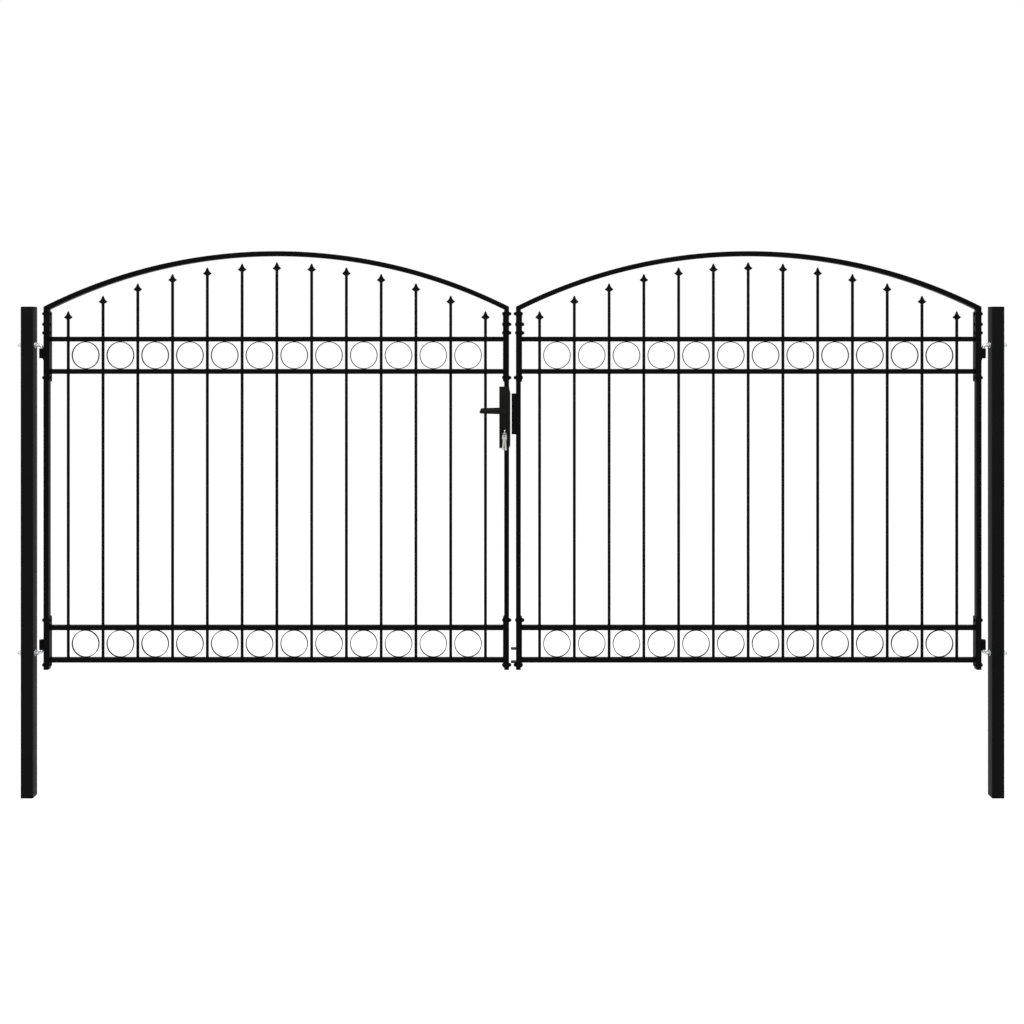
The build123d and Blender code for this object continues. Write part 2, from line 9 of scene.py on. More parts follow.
import bmesh
import bpy
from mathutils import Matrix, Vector


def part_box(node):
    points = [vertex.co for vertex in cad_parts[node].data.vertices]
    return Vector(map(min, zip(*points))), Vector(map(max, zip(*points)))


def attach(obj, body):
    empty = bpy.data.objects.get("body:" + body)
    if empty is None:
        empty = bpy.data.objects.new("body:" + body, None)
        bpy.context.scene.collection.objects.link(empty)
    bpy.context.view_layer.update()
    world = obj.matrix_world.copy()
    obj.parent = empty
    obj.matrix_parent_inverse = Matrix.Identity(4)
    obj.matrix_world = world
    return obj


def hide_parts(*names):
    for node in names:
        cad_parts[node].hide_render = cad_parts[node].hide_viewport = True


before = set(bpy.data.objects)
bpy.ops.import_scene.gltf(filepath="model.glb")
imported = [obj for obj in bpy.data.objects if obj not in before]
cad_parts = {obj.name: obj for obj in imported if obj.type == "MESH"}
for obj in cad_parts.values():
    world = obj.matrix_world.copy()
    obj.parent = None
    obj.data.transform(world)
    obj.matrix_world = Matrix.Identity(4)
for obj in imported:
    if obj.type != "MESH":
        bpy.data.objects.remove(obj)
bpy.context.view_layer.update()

LOG = logging.getLogger("gate")
MM = 0.001
FULL_TURN = 2 * math.pi
QUARTER_TURN = math.pi / 2
WHITE = (1, 1, 1, 1)

# How far a cutting tool stands past the face that it cuts, in millimetres
OVERRUN = 5.0

# A colour Mix node's sockets: its two colours and its result
MIX_LOW, MIX_HIGH, MIX_RESULT = 6, 7, 2

# Shares of a nut's width across its flats: its end face, the rim of the turning tool and the slope between
NUT_FACE, NUT_RIM, NUT_SLOPE = 0.485, 0.6, 0.12

# A weld bead: length of a ripple and its swell as shares of the radius, and how steeply the ends taper
BEAD_STEP, BEAD_RIPPLE, BEAD_TAPER = 0.7, 0.08, 4

Point = Union[Vector, Sequence[float]]
Piece = bpy.types.Object
Test = Callable[[Vector, Vector], bool]


class Side(Enum):
    """The two leaves, named as seen from the front. The value is the sign of X from the hinge inward."""

    LEFT = 1
    RIGHT = -1

    @property
    def label(self) -> str:
        """Name of the side as the model's nodes write it."""
        return self.name.lower()


class Slot(Enum):
    """The record's material slots."""

    POST = "post_steel"
    LEAF = "leaf_steel"
    LOCK = "lock_black"
    PLASTIC = "cap_plastic"
    ZINC = "zinc_steel"
    NICKEL = "nickel"
    KEY = "key_steel"


def at(x: float, y: float, z: float) -> Vector:
    """A point given in millimetres, in metres."""
    return Vector((x, y, z)) * MM


# Shader desk


class Wire:
    """An output socket of a material that can be used in plain arithmetic."""

    def __init__(self, desk: "Desk", socket: bpy.types.NodeSocket) -> None:
        """Keeps the desk that the socket's nodes stand on."""
        self.desk = desk
        self.socket = socket

    def _math(self, operation: str, *values: Any) -> "Wire":
        """Adds one Math node."""
        return self.desk.node("ShaderNodeMath", {"operation": operation}, dict(enumerate(values)))

    def __add__(self, other: Any) -> "Wire":
        """Sum."""
        return self._math("ADD", self, other)

    def __radd__(self, other: Any) -> "Wire":
        """Sum, reflected."""
        return self._math("ADD", other, self)

    def __sub__(self, other: Any) -> "Wire":
        """Difference."""
        return self._math("SUBTRACT", self, other)

    def __rsub__(self, other: Any) -> "Wire":
        """Difference, reflected."""
        return self._math("SUBTRACT", other, self)

    def __mul__(self, other: Any) -> "Wire":
        """Product."""
        return self._math("MULTIPLY", self, other)

    def __rmul__(self, other: Any) -> "Wire":
        """Product, reflected."""
        return self._math("MULTIPLY", other, self)


class Desk:
    """The node tree of one material or world."""

    def __init__(self, owner: Union[bpy.types.Material, bpy.types.World]) -> None:
        """Empties the owner's tree.

        Args:
            owner: The material or the world.
        """
        owner.use_nodes = True
        self.tree = owner.node_tree
        self.tree.nodes.clear()

    def node(
        self, kind: str, settings: Optional[dict] = None, inputs: Optional[dict] = None, out: Any = 0
    ) -> Wire:
        """Adds a node.

        Args:
            kind: The node's type.
            settings: Properties that are set first.
            inputs: Values or wires by socket name or number.
            out: The output that the wire comes from.

        Returns:
            The wire.
        """
        made = self.tree.nodes.new(kind)
        for name, value in (settings or {}).items():
            setattr(made, name, value)
        for name, value in (inputs or {}).items():
            if isinstance(value, Wire):
                self.tree.links.new(value.socket, made.inputs[name])
            else:
                made.inputs[name].default_value = value
        return Wire(self, made.outputs[out]) if made.outputs else Wire(self, None)

    def noise(self, place: Wire, scale: float, detail: float = 2.0) -> Wire:
        """Soft noise, from 0 to 1."""
        return self.node("ShaderNodeTexNoise", {}, {"Vector": place, "Scale": scale, "Detail": detail}, "Fac")

    def blend(self, factor: Wire, low: Sequence[float], high: Sequence[float]) -> Wire:
        """Mixes two colours.

        Args:
            factor: From 0 to 1.
            low: The colour at 0.
            high: The colour at 1.

        Returns:
            The mixed colour.
        """
        inputs = {0: factor, MIX_LOW: (*low, 1), MIX_HIGH: (*high, 1)}
        return self.node("ShaderNodeMix", {"data_type": "RGBA"}, inputs, MIX_RESULT)

    def principled(self, inputs: dict) -> None:
        """Ends a material in a principled shader with these inputs."""
        shader = self.node("ShaderNodeBsdfPrincipled", {}, inputs)
        self.node("ShaderNodeOutputMaterial", {}, {"Surface": shader})


@dataclass(frozen=True)
class CoatedSteel:
    """Black powder coat on steel: a soft sheen over a fine orange-peel skin."""

    name: str
    dark: tuple[float, float, float] = (0.0015, 0.0015, 0.0016)
    light: tuple[float, float, float] = (0.0031, 0.0030, 0.0029)
    roughness: float = 0.38
    roughness_spread: float = 0.10
    peel_scale: float = 620.0
    peel_height: float = 0.00006
    peel_strength: float = 0.6
    wave_ratio: float = 5.0
    cloud_scale: float = 9.0
    specular: float = 0.034

    def material(self) -> bpy.types.Material:
        """Builds the material.

        Returns:
            The material.
        """
        made = bpy.data.materials.new(self.name)
        desk = Desk(made)
        place = desk.node("ShaderNodeTexCoord", out="Object")
        cloud = desk.noise(place, self.cloud_scale, 3.0)
        peel = desk.noise(place, self.peel_scale, 1.0)
        wave = desk.noise(place, self.peel_scale / self.wave_ratio, 1.0)
        rough = (cloud - 0.5) * self.roughness_spread + (wave - 0.5) * self.roughness_spread + self.roughness
        skin = {"Strength": self.peel_strength, "Distance": self.peel_height, "Height": peel + wave}
        desk.principled(
            {
                "Base Color": desk.blend(cloud, self.dark, self.light),
                "Roughness": rough,
                "Normal": desk.node("ShaderNodeBump", {}, skin),
                "Specular IOR Level": self.specular,
            }
        )
        return made


@dataclass(frozen=True)
class PlatedMetal:
    """Zinc or nickel plate: bright metal with faint clouds and fine brush lines."""

    name: str
    dark: tuple[float, float, float]
    light: tuple[float, float, float]
    roughness: float = 0.3
    roughness_spread: float = 0.12
    cloud_scale: float = 160.0
    line_scale: float = 2400.0
    line_height: float = 0.00001
    line_strength: float = 0.5
    line_stretch: tuple[float, float, float] = (0.06, 1.0, 1.0)

    def material(self) -> bpy.types.Material:
        """Builds the material.

        Returns:
            The material.
        """
        made = bpy.data.materials.new(self.name)
        desk = Desk(made)
        place = desk.node("ShaderNodeTexCoord", out="Object")
        cloud = desk.noise(place, self.cloud_scale, 3.0)
        stretched = desk.node("ShaderNodeMapping", {}, {"Vector": place, "Scale": self.line_stretch})
        lines = desk.noise(stretched, self.line_scale, 2.0)
        brushed = {"Strength": self.line_strength, "Distance": self.line_height, "Height": lines}
        desk.principled(
            {
                "Base Color": desk.blend(cloud, self.dark, self.light),
                "Roughness": (cloud - 0.5) * self.roughness_spread + self.roughness,
                "Metallic": 1.0,
                "Normal": desk.node("ShaderNodeBump", {}, brushed),
            }
        )
        return made


class Finishes:
    """The gate's materials, one for each slot of the record."""

    def __init__(self) -> None:
        """Builds each finish once."""
        post = CoatedSteel("post_powder_coat", (0.0034, 0.0034, 0.0036), (0.0060, 0.0059, 0.0057))
        leaf = CoatedSteel("leaf_powder_coat")
        lock = CoatedSteel("lock_fine_coat", (0.0060, 0.0060, 0.0058), (0.0092, 0.0091, 0.0086), 0.5)
        plastic = CoatedSteel("moulded_cap", (0.0040, 0.0040, 0.0042), (0.0062, 0.0061, 0.0060), 0.55)
        zinc = PlatedMetal("zinc_plate", (0.52, 0.54, 0.56), (0.70, 0.71, 0.72))
        # Nickel colour darkened far below real nickel: painted shade, standing in for the shadow and dark
        # reflection on the cylinder's face
        nickel = PlatedMetal("satin_nickel_painted_shade", (0.15, 0.15, 0.14), (0.25, 0.25, 0.23), 0.28)
        key = PlatedMetal("key_nickel", (0.31, 0.32, 0.30), (0.62, 0.63, 0.60), 0.26)
        self.by_slot = {
            Slot.POST: post.material(),
            Slot.LEAF: leaf.material(),
            Slot.LOCK: replace(lock, peel_scale=1500.0, peel_height=0.00004).material(),
            Slot.PLASTIC: replace(plastic, peel_scale=2200.0, peel_height=0.00003).material(),
            Slot.ZINC: zinc.material(),
            Slot.NICKEL: nickel.material(),
            Slot.KEY: key.material(),
        }

    def dress(self, piece: Piece, slot: Slot, body: str, *nodes: str) -> Piece:
        """Gives a finished piece its looks and its place in the model.

        Args:
            piece: The piece.
            slot: Its material slot.
            body: The body that it rides on.
            nodes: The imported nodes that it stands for.

        Returns:
            The piece.
        """
        piece.data.materials.clear()
        piece.data.materials.append(self.by_slot[slot])
        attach(piece, body)
        if nodes:
            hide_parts(*nodes)
        LOG.info("%s rides on %s, %d faces", piece.name, body, len(piece.data.polygons))
        return piece

    def dress_node(self, node: str, slot: Slot) -> None:
        """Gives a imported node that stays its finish.

        Args:
            node: The node's name.
            slot: Its material slot.
        """
        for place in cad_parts[node].material_slots:
            place.material = self.by_slot[slot]
        LOG.info("%s keeps its packed shape", node)


# Hand tools


class Bench:
    """Modelling tools. Each leaves its piece in object mode with its place in its mesh.

    Points are in metres, as at() gives them. Radii and widths are in millimetres.
    """

    @staticmethod
    def clear() -> None:
        """Leaves edit mode and deselects everything."""
        active = bpy.context.view_layer.objects.active
        if active is not None and active.mode == "EDIT":
            bpy.ops.object.mode_set(mode="OBJECT")
        bpy.ops.object.select_all(action="DESELECT")

    @staticmethod
    def take(name: str) -> Piece:
        """Names the new primitive and settles its place in its mesh.

        Args:
            name: The piece's name.

        Returns:
            The piece.
        """
        piece = bpy.context.view_layer.objects.active
        piece.name = name
        bpy.ops.object.transform_apply(location=True, rotation=True, scale=True)
        return piece

    @staticmethod
    def only(piece: Piece) -> None:
        """Makes one piece selected and active.

        Args:
            piece: The piece.
        """
        Bench.clear()
        piece.select_set(True)
        bpy.context.view_layer.objects.active = piece

    @staticmethod
    @contextmanager
    def edit(piece: Piece, mode: str = "FACE", everything: bool = False) -> Iterator[None]:
        """Opens a piece in edit mode, and leaves edit mode at the end.

        Args:
            piece: The piece.
            mode: What is selected: VERT, EDGE or FACE.
            everything: Whether all of the piece starts selected, or none of it.

        Yields:
            Nothing.
        """
        Bench.only(piece)
        bpy.ops.object.mode_set(mode="EDIT")
        bpy.ops.mesh.select_mode(type=mode)
        bpy.ops.mesh.select_all(action="SELECT" if everything else "DESELECT")
        yield
        bpy.ops.object.mode_set(mode="OBJECT")

    @staticmethod
    def pick_faces(piece: Piece, test: Test) -> None:
        """Selects faces in edit mode.

        Args:
            piece: The piece.
            test: Says from a face's middle and normal whether it is selected.
        """
        mesh = bmesh.from_edit_mesh(piece.data)
        for face in mesh.faces:
            face.select_set(test(face.calc_center_median(), face.normal))
        bmesh.update_edit_mesh(piece.data)

    @staticmethod
    def extrude(run: Point) -> None:
        """Extrudes what is selected by a run, in edit mode."""
        bpy.ops.mesh.extrude_region_move(TRANSFORM_OT_translate={"value": Vector(run)})

    @staticmethod
    def block(name: str, corner: Point, far_corner: Point) -> Piece:
        """Models a box.

        Args:
            name: The piece's name.
            corner: Any corner.
            far_corner: The one across from it.

        Returns:
            The box.
        """
        Bench.clear()
        low, high = (Vector([*map(pick, corner, far_corner)]) for pick in (min, max))
        bpy.ops.mesh.primitive_cube_add(size=1, location=(low + high) / 2)
        bpy.context.view_layer.objects.active.scale = high - low
        return Bench.take(name)

    @staticmethod
    def rod(name: str, start: Point, end: Point, radius: float, sides: int = 24, roll: float = 0.0) -> Piece:
        """Models a round or many-sided rod.

        Args:
            name: The piece's name.
            start: Middle of one end.
            end: Middle of the other.
            radius: Distance from the axis to the corners.
            sides: Number of sides.
            roll: Turn about the axis, in radians.

        Returns:
            The rod.
        """
        Bench.clear()
        start, end = Vector(start), Vector(end)
        turn = (end - start).to_track_quat("Z", "Y").to_euler()
        bpy.ops.mesh.primitive_cylinder_add(
            vertices=sides,
            radius=radius * MM,
            depth=(end - start).length,
            location=(start + end) / 2,
            rotation=turn,
        )
        bpy.context.view_layer.objects.active.rotation_euler.rotate_axis("Z", roll)
        return Bench.take(name)

    @staticmethod
    def cross_rod(
        name: str, place: tuple[float, float], near: float, far: float, radius: float, sides: int
    ) -> Piece:
        """Models a rod that lies along Y, with every length in millimetres."""
        x, z = place
        return Bench.rod(name, at(x, near, z), at(x, far, z), radius, sides)

    @staticmethod
    def apply(piece: Piece, kind: str, **settings: Any) -> Piece:
        """Adds a modifier and applies it.

        Args:
            piece: The piece.
            kind: The modifier's type.
            settings: Its properties.

        Returns:
            The piece.
        """
        Bench.only(piece)
        modifier = piece.modifiers.new(kind.lower(), kind)
        for name, value in settings.items():
            setattr(modifier, name, value)
        bpy.ops.object.modifier_apply(modifier=modifier.name)
        return piece

    @staticmethod
    def round_edges(piece: Piece, width: float, segments: int = 3, angle: float = 40.0) -> Piece:
        """Rounds the edges of a piece and shades it smooth.

        Args:
            piece: The piece.
            width: Width of the rounding.
            segments: Its steps.
            angle: Edges that turn by more than this many degrees are rounded.

        Returns:
            The piece.
        """
        Bench.apply(
            piece,
            "BEVEL",
            width=width * MM,
            segments=segments,
            limit_method="ANGLE",
            angle_limit=math.radians(angle),
            use_clamp_overlap=True,
            harden_normals=False,
        )
        return Bench.smooth(piece)

    @staticmethod
    def round_corners(piece: Piece, radius: float, segments: int = 5, axis: int = 2) -> None:
        """Rounds the edges of a block that run one way.

        Args:
            piece: The block.
            radius: Radius of the rounding.
            segments: Its steps.
            axis: The way that the edges run: 0 for X, 1 for Y or 2 for Z.
        """
        with Bench.edit(piece, "EDGE"):
            mesh = bmesh.from_edit_mesh(piece.data)
            for edge in mesh.edges:
                run = edge.verts[0].co - edge.verts[1].co
                edge.select_set(abs(run[axis]) > 0.9 * run.length)
            bmesh.update_edit_mesh(piece.data)
            bpy.ops.mesh.bevel(offset=radius * MM, segments=segments, affect="EDGES")

    @staticmethod
    def smooth(piece: Piece, angle: float = 35.0) -> Piece:
        """Shades a piece smooth.

        Args:
            piece: The piece.
            angle: Edges sharper than this many degrees stay sharp.

        Returns:
            The piece.
        """
        Bench.only(piece)
        bpy.ops.object.shade_smooth_by_angle(angle=math.radians(angle))
        return piece

    @staticmethod
    def close(piece: Piece) -> Piece:
        """Merges doubled points and turns every face outward.

        Args:
            piece: The piece.

        Returns:
            The piece.
        """
        with Bench.edit(piece, "VERT", everything=True):
            bpy.ops.mesh.remove_doubles(threshold=1e-6)
            bpy.ops.mesh.normals_make_consistent(inside=False)
        return piece

    @staticmethod
    def cut(piece: Piece, place: Point, normal: Point) -> Piece:
        """Cuts a piece by a plane and closes the cut.

        Args:
            piece: The piece.
            place: A point on the plane.
            normal: The side that it points to is thrown away. It may have any length.

        Returns:
            The piece.
        """
        with Bench.edit(piece, everything=True):
            bpy.ops.mesh.bisect(
                plane_co=Vector(place),
                plane_no=Vector(normal).normalized(),
                use_fill=True,
                clear_outer=True,
                threshold=1e-7,
            )
        return piece

    @staticmethod
    def copy(piece: Piece, name: str, shift: Point) -> Piece:
        """Copies a piece, with its own mesh.

        Args:
            piece: The piece.
            name: The copy's name.
            shift: How far the copy is moved.

        Returns:
            The copy.
        """
        twin = piece.copy()
        twin.data = piece.data.copy()
        twin.name = name
        bpy.context.scene.collection.objects.link(twin)
        with Bench.edit(twin, "VERT", everything=True):
            bpy.ops.transform.translate(value=Vector(shift))
        return twin

    @staticmethod
    def join(name: str, pieces: Sequence[Piece]) -> Piece:
        """Joins pieces into one.

        Args:
            name: The joined piece's name.
            pieces: The pieces.

        Returns:
            The joined piece.
        """
        Bench.clear()
        for piece in pieces:
            piece.select_set(True)
        bpy.context.view_layer.objects.active = pieces[0]
        if len(pieces) > 1:
            bpy.ops.object.join()
        pieces[0].name = name
        return pieces[0]

    @staticmethod
    def carve(piece: Piece, tool: Piece, operation: str = "DIFFERENCE") -> Piece:
        """Cuts one piece out of another, or joins them into one skin, and throws the tool away.

        Args:
            piece: The piece that stays.
            tool: The one that is used up.
            operation: DIFFERENCE, UNION or INTERSECT.

        Returns:
            The piece.
        """
        Bench.apply(piece, "BOOLEAN", operation=operation, object=tool, solver="EXACT")
        bpy.data.objects.remove(tool)
        return piece

    @staticmethod
    def lathe(name: str, axis_point: Point, axis: Point, outline: Sequence[Point], sides: int = 24) -> Piece:
        """Turns an outline round an axis.

        Args:
            name: The piece's name.
            axis_point: A point on the axis.
            axis: The axis.
            outline: Points from one end of the axis to the other. The first and last lie on it.
            sides: Steps in a full turn.

        Returns:
            The turned piece.
        """
        Bench.clear()
        bpy.ops.mesh.primitive_plane_add(size=1)
        piece = Bench.take(name)
        with Bench.edit(piece, "VERT", everything=True):
            bpy.ops.mesh.merge(type="CENTER")
            bpy.ops.transform.translate(value=Vector(outline[0]))
            for start, end in zip(outline, outline[1:]):
                Bench.extrude(Vector(end) - Vector(start))
            bpy.ops.mesh.select_all(action="SELECT")
            bpy.ops.mesh.spin(steps=sides, angle=FULL_TURN, center=Vector(axis_point), axis=Vector(axis))
        return Bench.close(piece)


# Places that sub-assemblies share


@dataclass(frozen=True)
class Layout:
    """Heights and distances that several sub-assemblies share, in millimetres."""

    opening: float = 3900.0
    post_size: float = 50.0
    post_height: float = 2000.0
    hinge_gap: float = 39.0
    leaf_gap: float = 28.0
    leaf_bottom: float = 520.0
    leaf_top: float = 2000.0
    arch_rise: float = 226.0
    tube_width: float = 20.0
    tube_depth: float = 30.0
    barrel_radius: float = 11.0
    spindle_x: float = 1943.0
    spindle_z: float = 1574.5
    key_z: float = 1481.5

    @property
    def centre(self) -> float:
        """X of the middle of the opening."""
        return (self.opening + self.post_size) / 2

    @property
    def leaf_width(self) -> float:
        """Width of a leaf."""
        return (self.opening - 2 * self.hinge_gap - self.leaf_gap) / 2

    @property
    def arch_radius(self) -> float:
        """Outer radius of an arch."""
        half = self.leaf_width / 2
        return (half**2 + self.arch_rise**2) / (2 * self.arch_rise)

    @property
    def arch_centre(self) -> float:
        """Height of an arch's centre."""
        return self.leaf_top + self.arch_rise - self.arch_radius

    def leaf_x(self, side: Side, inward: float) -> float:
        """X of a point so far in from a leaf's hinge edge."""
        return self.centre - side.value * (self.leaf_gap / 2 + self.leaf_width - inward)

    def post_x(self, side: Side) -> float:
        """X of a post's middle."""
        return 0.0 if side is Side.LEFT else self.opening + self.post_size


LAYOUT = Layout()


# Bolts and nuts


@dataclass
class StileBolt:
    """Black button-head bolt through a stile and its flat bar, with a flange nut. It lies along X."""

    head_radius: float = 7.0
    head_height: float = 3.8
    head_wall: float = 0.25
    dome_steps: int = 4
    dome_eye: float = 0.02
    flange_radius: float = 8.9
    flange_height: float = 2.6
    flange_wall: float = 0.4
    nut_flats: float = 13.0
    nut_height: float = 7.6
    end_radius: float = 4.0
    end_proud: float = 9.5
    end_round: float = 0.5

    def build(self, name: str, head_x: float, nut_x: float, z: float) -> Piece:
        """Models the bolt and its nut.

        Args:
            name: The piece's name.
            head_x: X of the face that the head bears on.
            nut_x: X of the face that the nut bears on.
            z: Height of the bolt.

        Returns:
            The bolt.
        """
        outward = 1.0 if head_x > nut_x else -1.0
        dome = self.dome(head_x, outward, z)
        head = Bench.lathe(f"{name}_head", at(head_x, 0, z), (1, 0, 0), dome, 20)
        nut_end = nut_x - outward * self.nut_height
        nut = hex_nut(f"{name}_nut", at(nut_x, 0, z), at(nut_end, 0, z), self.nut_flats)
        rim, waist = self.flange_radius, self.nut_flats / 2
        near = nut_x - outward * self.flange_height * self.flange_wall
        far = nut_x - outward * self.flange_height
        ring = [at(nut_x, 0, z), at(nut_x, rim, z), at(near, rim, z), at(far, waist, z), at(far, 0, z)]
        flange = Bench.smooth(Bench.lathe(f"{name}_flange", at(nut_x, 0, z), (1, 0, 0), ring), 30)
        thread_end = nut_x - outward * self.end_proud
        end = Bench.rod(f"{name}_end", at(nut_x, 0, z), at(thread_end, 0, z), self.end_radius, 16)
        Bench.round_edges(end, self.end_round, 1)
        return Bench.join(name, [Bench.smooth(head), nut, flange, end])

    def dome(self, head_x: float, outward: float, z: float) -> list[Vector]:
        """Draws half the outline of the domed head.

        Args:
            head_x: X of the face that the head bears on.
            outward: Sign of X away from that face.
            z: Height of the bolt.

        Returns:
            Points from the middle of that face to the top of the dome.
        """
        outline = [at(head_x, 0, z), at(head_x, self.head_radius, z)]
        for step in range(self.dome_steps + 1):
            angle = QUARTER_TURN * step / self.dome_steps
            rise = self.head_wall + (1 - self.head_wall) * math.sin(angle)
            width = self.head_radius * math.cos(angle) + self.dome_eye
            outline.append(at(head_x + outward * self.head_height * rise, width, z))
        outline.append(at(head_x + outward * self.head_height, 0, z))
        return outline


def hex_nut(name: str, start: Point, end: Point, flats: float) -> Piece:
    """Models a hexagon nut with its corners turned down at both ends.

    Args:
        name: The piece's name.
        start: Middle of one end face.
        end: Middle of the other.
        flats: Width across the flats, in millimetres.

    Returns:
        The nut.
    """
    start, end = Vector(start), Vector(end)
    nut = Bench.rod(name, start, end, flats / math.sqrt(3), 6, math.radians(30))
    along = (end - start).normalized()
    across = along.orthogonal().normalized()
    size = flats * MM
    face, rim, slope = across * size * NUT_FACE, across * size * NUT_RIM, along * size * NUT_SLOPE
    outline = [start, start + face, start + rim + slope, end + rim - slope, end + face, end]
    tool = Bench.lathe(f"{name}_turned", start, along, outline)
    Bench.carve(nut, tool, "INTERSECT")
    return Bench.smooth(nut, 25)


# Posts and hinges


@dataclass
class Post:
    """One square post with its cap and its two pintles."""

    side: Side
    finishes: Finishes
    corner: float = 3.0
    edge_round: float = 0.35
    cap_head: float = 5.0
    cap_edge: float = 2.4
    cap_round: float = 0.5
    pintle_radius: float = 6.0
    thread_depth: float = 0.75
    thread_pitch: float = 1.75
    thread_lead: float = 1.0
    lead_drop: float = 0.4
    thread_spare: float = 1.5
    plain_run: float = 4.0
    rod_overlap: float = 0.5
    bend: float = 12.0
    bend_steps: int = 8
    shank_heights: tuple[float, float] = (1843.1, 585.9)
    pin_tips: tuple[float, float] = (1791.0, 632.0)
    shoulders: tuple[float, float] = (1829.3, 599.7)
    shoulder_thickness: float = 1.8
    shoulder_radius: float = 9.0
    plate_round: float = 0.4
    end_proud: float = 20.0
    washer_radius: float = 12.0
    washer_thickness: float = 2.5
    nut_flats: float = 19.0
    nut_height: float = 10.0

    def build(self) -> None:
        """Builds the post, its cap and its pintles."""
        self.tube()
        self.cap()
        self.pintles()

    def tube(self) -> None:
        """Square tube with rounded corners."""
        name = f"{self.side.label}_post"
        x, half = LAYOUT.post_x(self.side), LAYOUT.post_size / 2
        top = LAYOUT.post_height - self.cap_head
        piece = Bench.block(f"{name}_tube", at(x - half, -half, 0), at(x + half, half, top))
        Bench.round_corners(piece, self.corner)
        Bench.round_edges(piece, self.edge_round, 1)
        self.finishes.dress(piece, Slot.POST, "posts", name)

    def cap(self) -> None:
        """Moulded cap: a low head with a soft bevel."""
        name = f"{self.side.label}_post_cap"
        x, half = LAYOUT.post_x(self.side), LAYOUT.post_size / 2
        foot, top = LAYOUT.post_height - self.cap_head, LAYOUT.post_height - self.cap_edge
        piece = Bench.block(f"{name}_head", at(x - half, -half, foot), at(x + half, half, top))
        Bench.round_corners(piece, self.corner)
        with Bench.edit(piece):
            Bench.pick_faces(piece, lambda place, normal: normal.z > 0.9)
            bpy.ops.mesh.inset(thickness=self.cap_edge * MM, depth=0)
            bpy.ops.transform.translate(value=at(0, 0, self.cap_edge))
        Bench.round_edges(piece, self.cap_round, 2, 25)
        self.finishes.dress(piece, Slot.PLASTIC, "posts", name)

    def pintles(self) -> None:
        """Two bent, threaded pintles with a washer and a nut on each side of the post."""
        name = f"{self.side.label}_pintles"
        made = []
        for shank, tip, shoulder in zip(self.shank_heights, self.pin_tips, self.shoulders):
            made += self.pintle(name, shank, tip, shoulder)
        self.finishes.dress(Bench.join(f"{name}_plated", made), Slot.ZINC, "posts", name)

    def pintle(self, name: str, shank: float, tip: float, shoulder: float) -> list[Piece]:
        """Models one pintle.

        Args:
            name: Start of its pieces' names.
            shank: Height of its shank.
            tip: Height of the free end of its pin.
            shoulder: Height of the face that the barrel bears on.

        Returns:
            Its rod, thread and shoulder, and its washers and nuts.
        """
        sign = self.side.value
        post_x, half = LAYOUT.post_x(self.side), LAYOUT.post_size / 2
        hinge = LAYOUT.leaf_x(self.side, -LAYOUT.barrel_radius)
        outer = post_x - sign * (half + self.end_proud)
        thread_end = hinge - sign * (self.bend + self.plain_run)
        upward = -1.0 if tip < shank else 1.0
        rod = self.bent_rod(f"{name}_rod", thread_end, shank, tip, upward)
        thread = self.thread(f"{name}_thread", outer, thread_end, shank)
        seat, back = at(hinge, 0, shoulder), at(hinge, 0, shoulder - upward * self.shoulder_thickness)
        collar = Bench.rod(f"{name}_shoulder", seat, back, self.shoulder_radius, 32)
        Bench.round_edges(collar, self.plate_round, 2)
        made = [rod, thread, collar]
        for outward in (-1, 1):
            face = post_x + sign * outward * half
            seat = face + sign * outward * self.washer_thickness
            end = seat + sign * outward * self.nut_height
            near, middle, far = (at(x, 0, shank) for x in (face, seat, end))
            washer = Bench.rod(f"{name}_washer", near, middle, self.washer_radius, 32)
            Bench.round_edges(washer, self.plate_round, 2)
            made += [washer, hex_nut(f"{name}_nut", middle, far, self.nut_flats)]
        return made

    def thread(self, name: str, outer: float, end: float, z: float) -> Piece:
        """Models the threaded part of a pintle as a row of ridges.

        Args:
            name: The piece's name.
            outer: X of the shank's free end.
            end: X at which the thread has run out.
            z: Height of the shank.

        Returns:
            The thread.
        """
        sign, pitch = self.side.value, self.thread_pitch
        radius, root = self.pintle_radius, self.pintle_radius - self.thread_depth
        lead = at(outer + sign * self.thread_lead, root, z)
        outline = [at(outer, 0, z), at(outer, root - self.lead_drop, z), lead]
        turns = int((abs(end - outer) - self.thread_spare) / pitch)
        for turn in range(turns):
            x = outer + sign * (self.thread_lead + pitch * turn)
            outline.append(at(x + sign * pitch * 0.5, radius, z))
            outline.append(at(x + sign * pitch, root, z))
        outline.append(at(outer + sign * (self.thread_lead + pitch * turns), 0, z))
        return Bench.smooth(Bench.lathe(name, at(outer, 0, z), (1, 0, 0), outline, 20), 60)

    def bent_rod(self, name: str, start: float, shank: float, tip: float, upward: float) -> Piece:
        """Models the smooth end of a pintle: a short run, the bend and the pin.

        Args:
            name: The piece's name.
            start: X at which the smooth run starts.
            shank: Height of the shank.
            tip: Height of the free end of the pin.
            upward: Sign of Z from the shank to the tip.

        Returns:
            The rod.
        """
        sign = self.side.value
        bend_start = LAYOUT.leaf_x(self.side, -LAYOUT.barrel_radius) - sign * self.bend
        Bench.clear()
        bpy.ops.mesh.primitive_circle_add(
            vertices=24,
            radius=self.pintle_radius * MM,
            fill_type="NGON",
            location=at(start - sign * self.rod_overlap, 0, shank),
            rotation=(0, QUARTER_TURN, 0),
        )
        rod = Bench.take(name)
        with Bench.edit(rod, everything=True):
            Bench.extrude(at(bend_start - start + sign * self.rod_overlap, 0, 0))
            bpy.ops.mesh.spin(
                steps=self.bend_steps,
                angle=sign * upward * QUARTER_TURN,
                center=at(bend_start, 0, shank + upward * self.bend),
                axis=(0, 1, 0),
            )
            Bench.extrude(at(0, 0, tip - shank - upward * self.bend))
        return Bench.smooth(Bench.close(rod), 40)


# Leaves


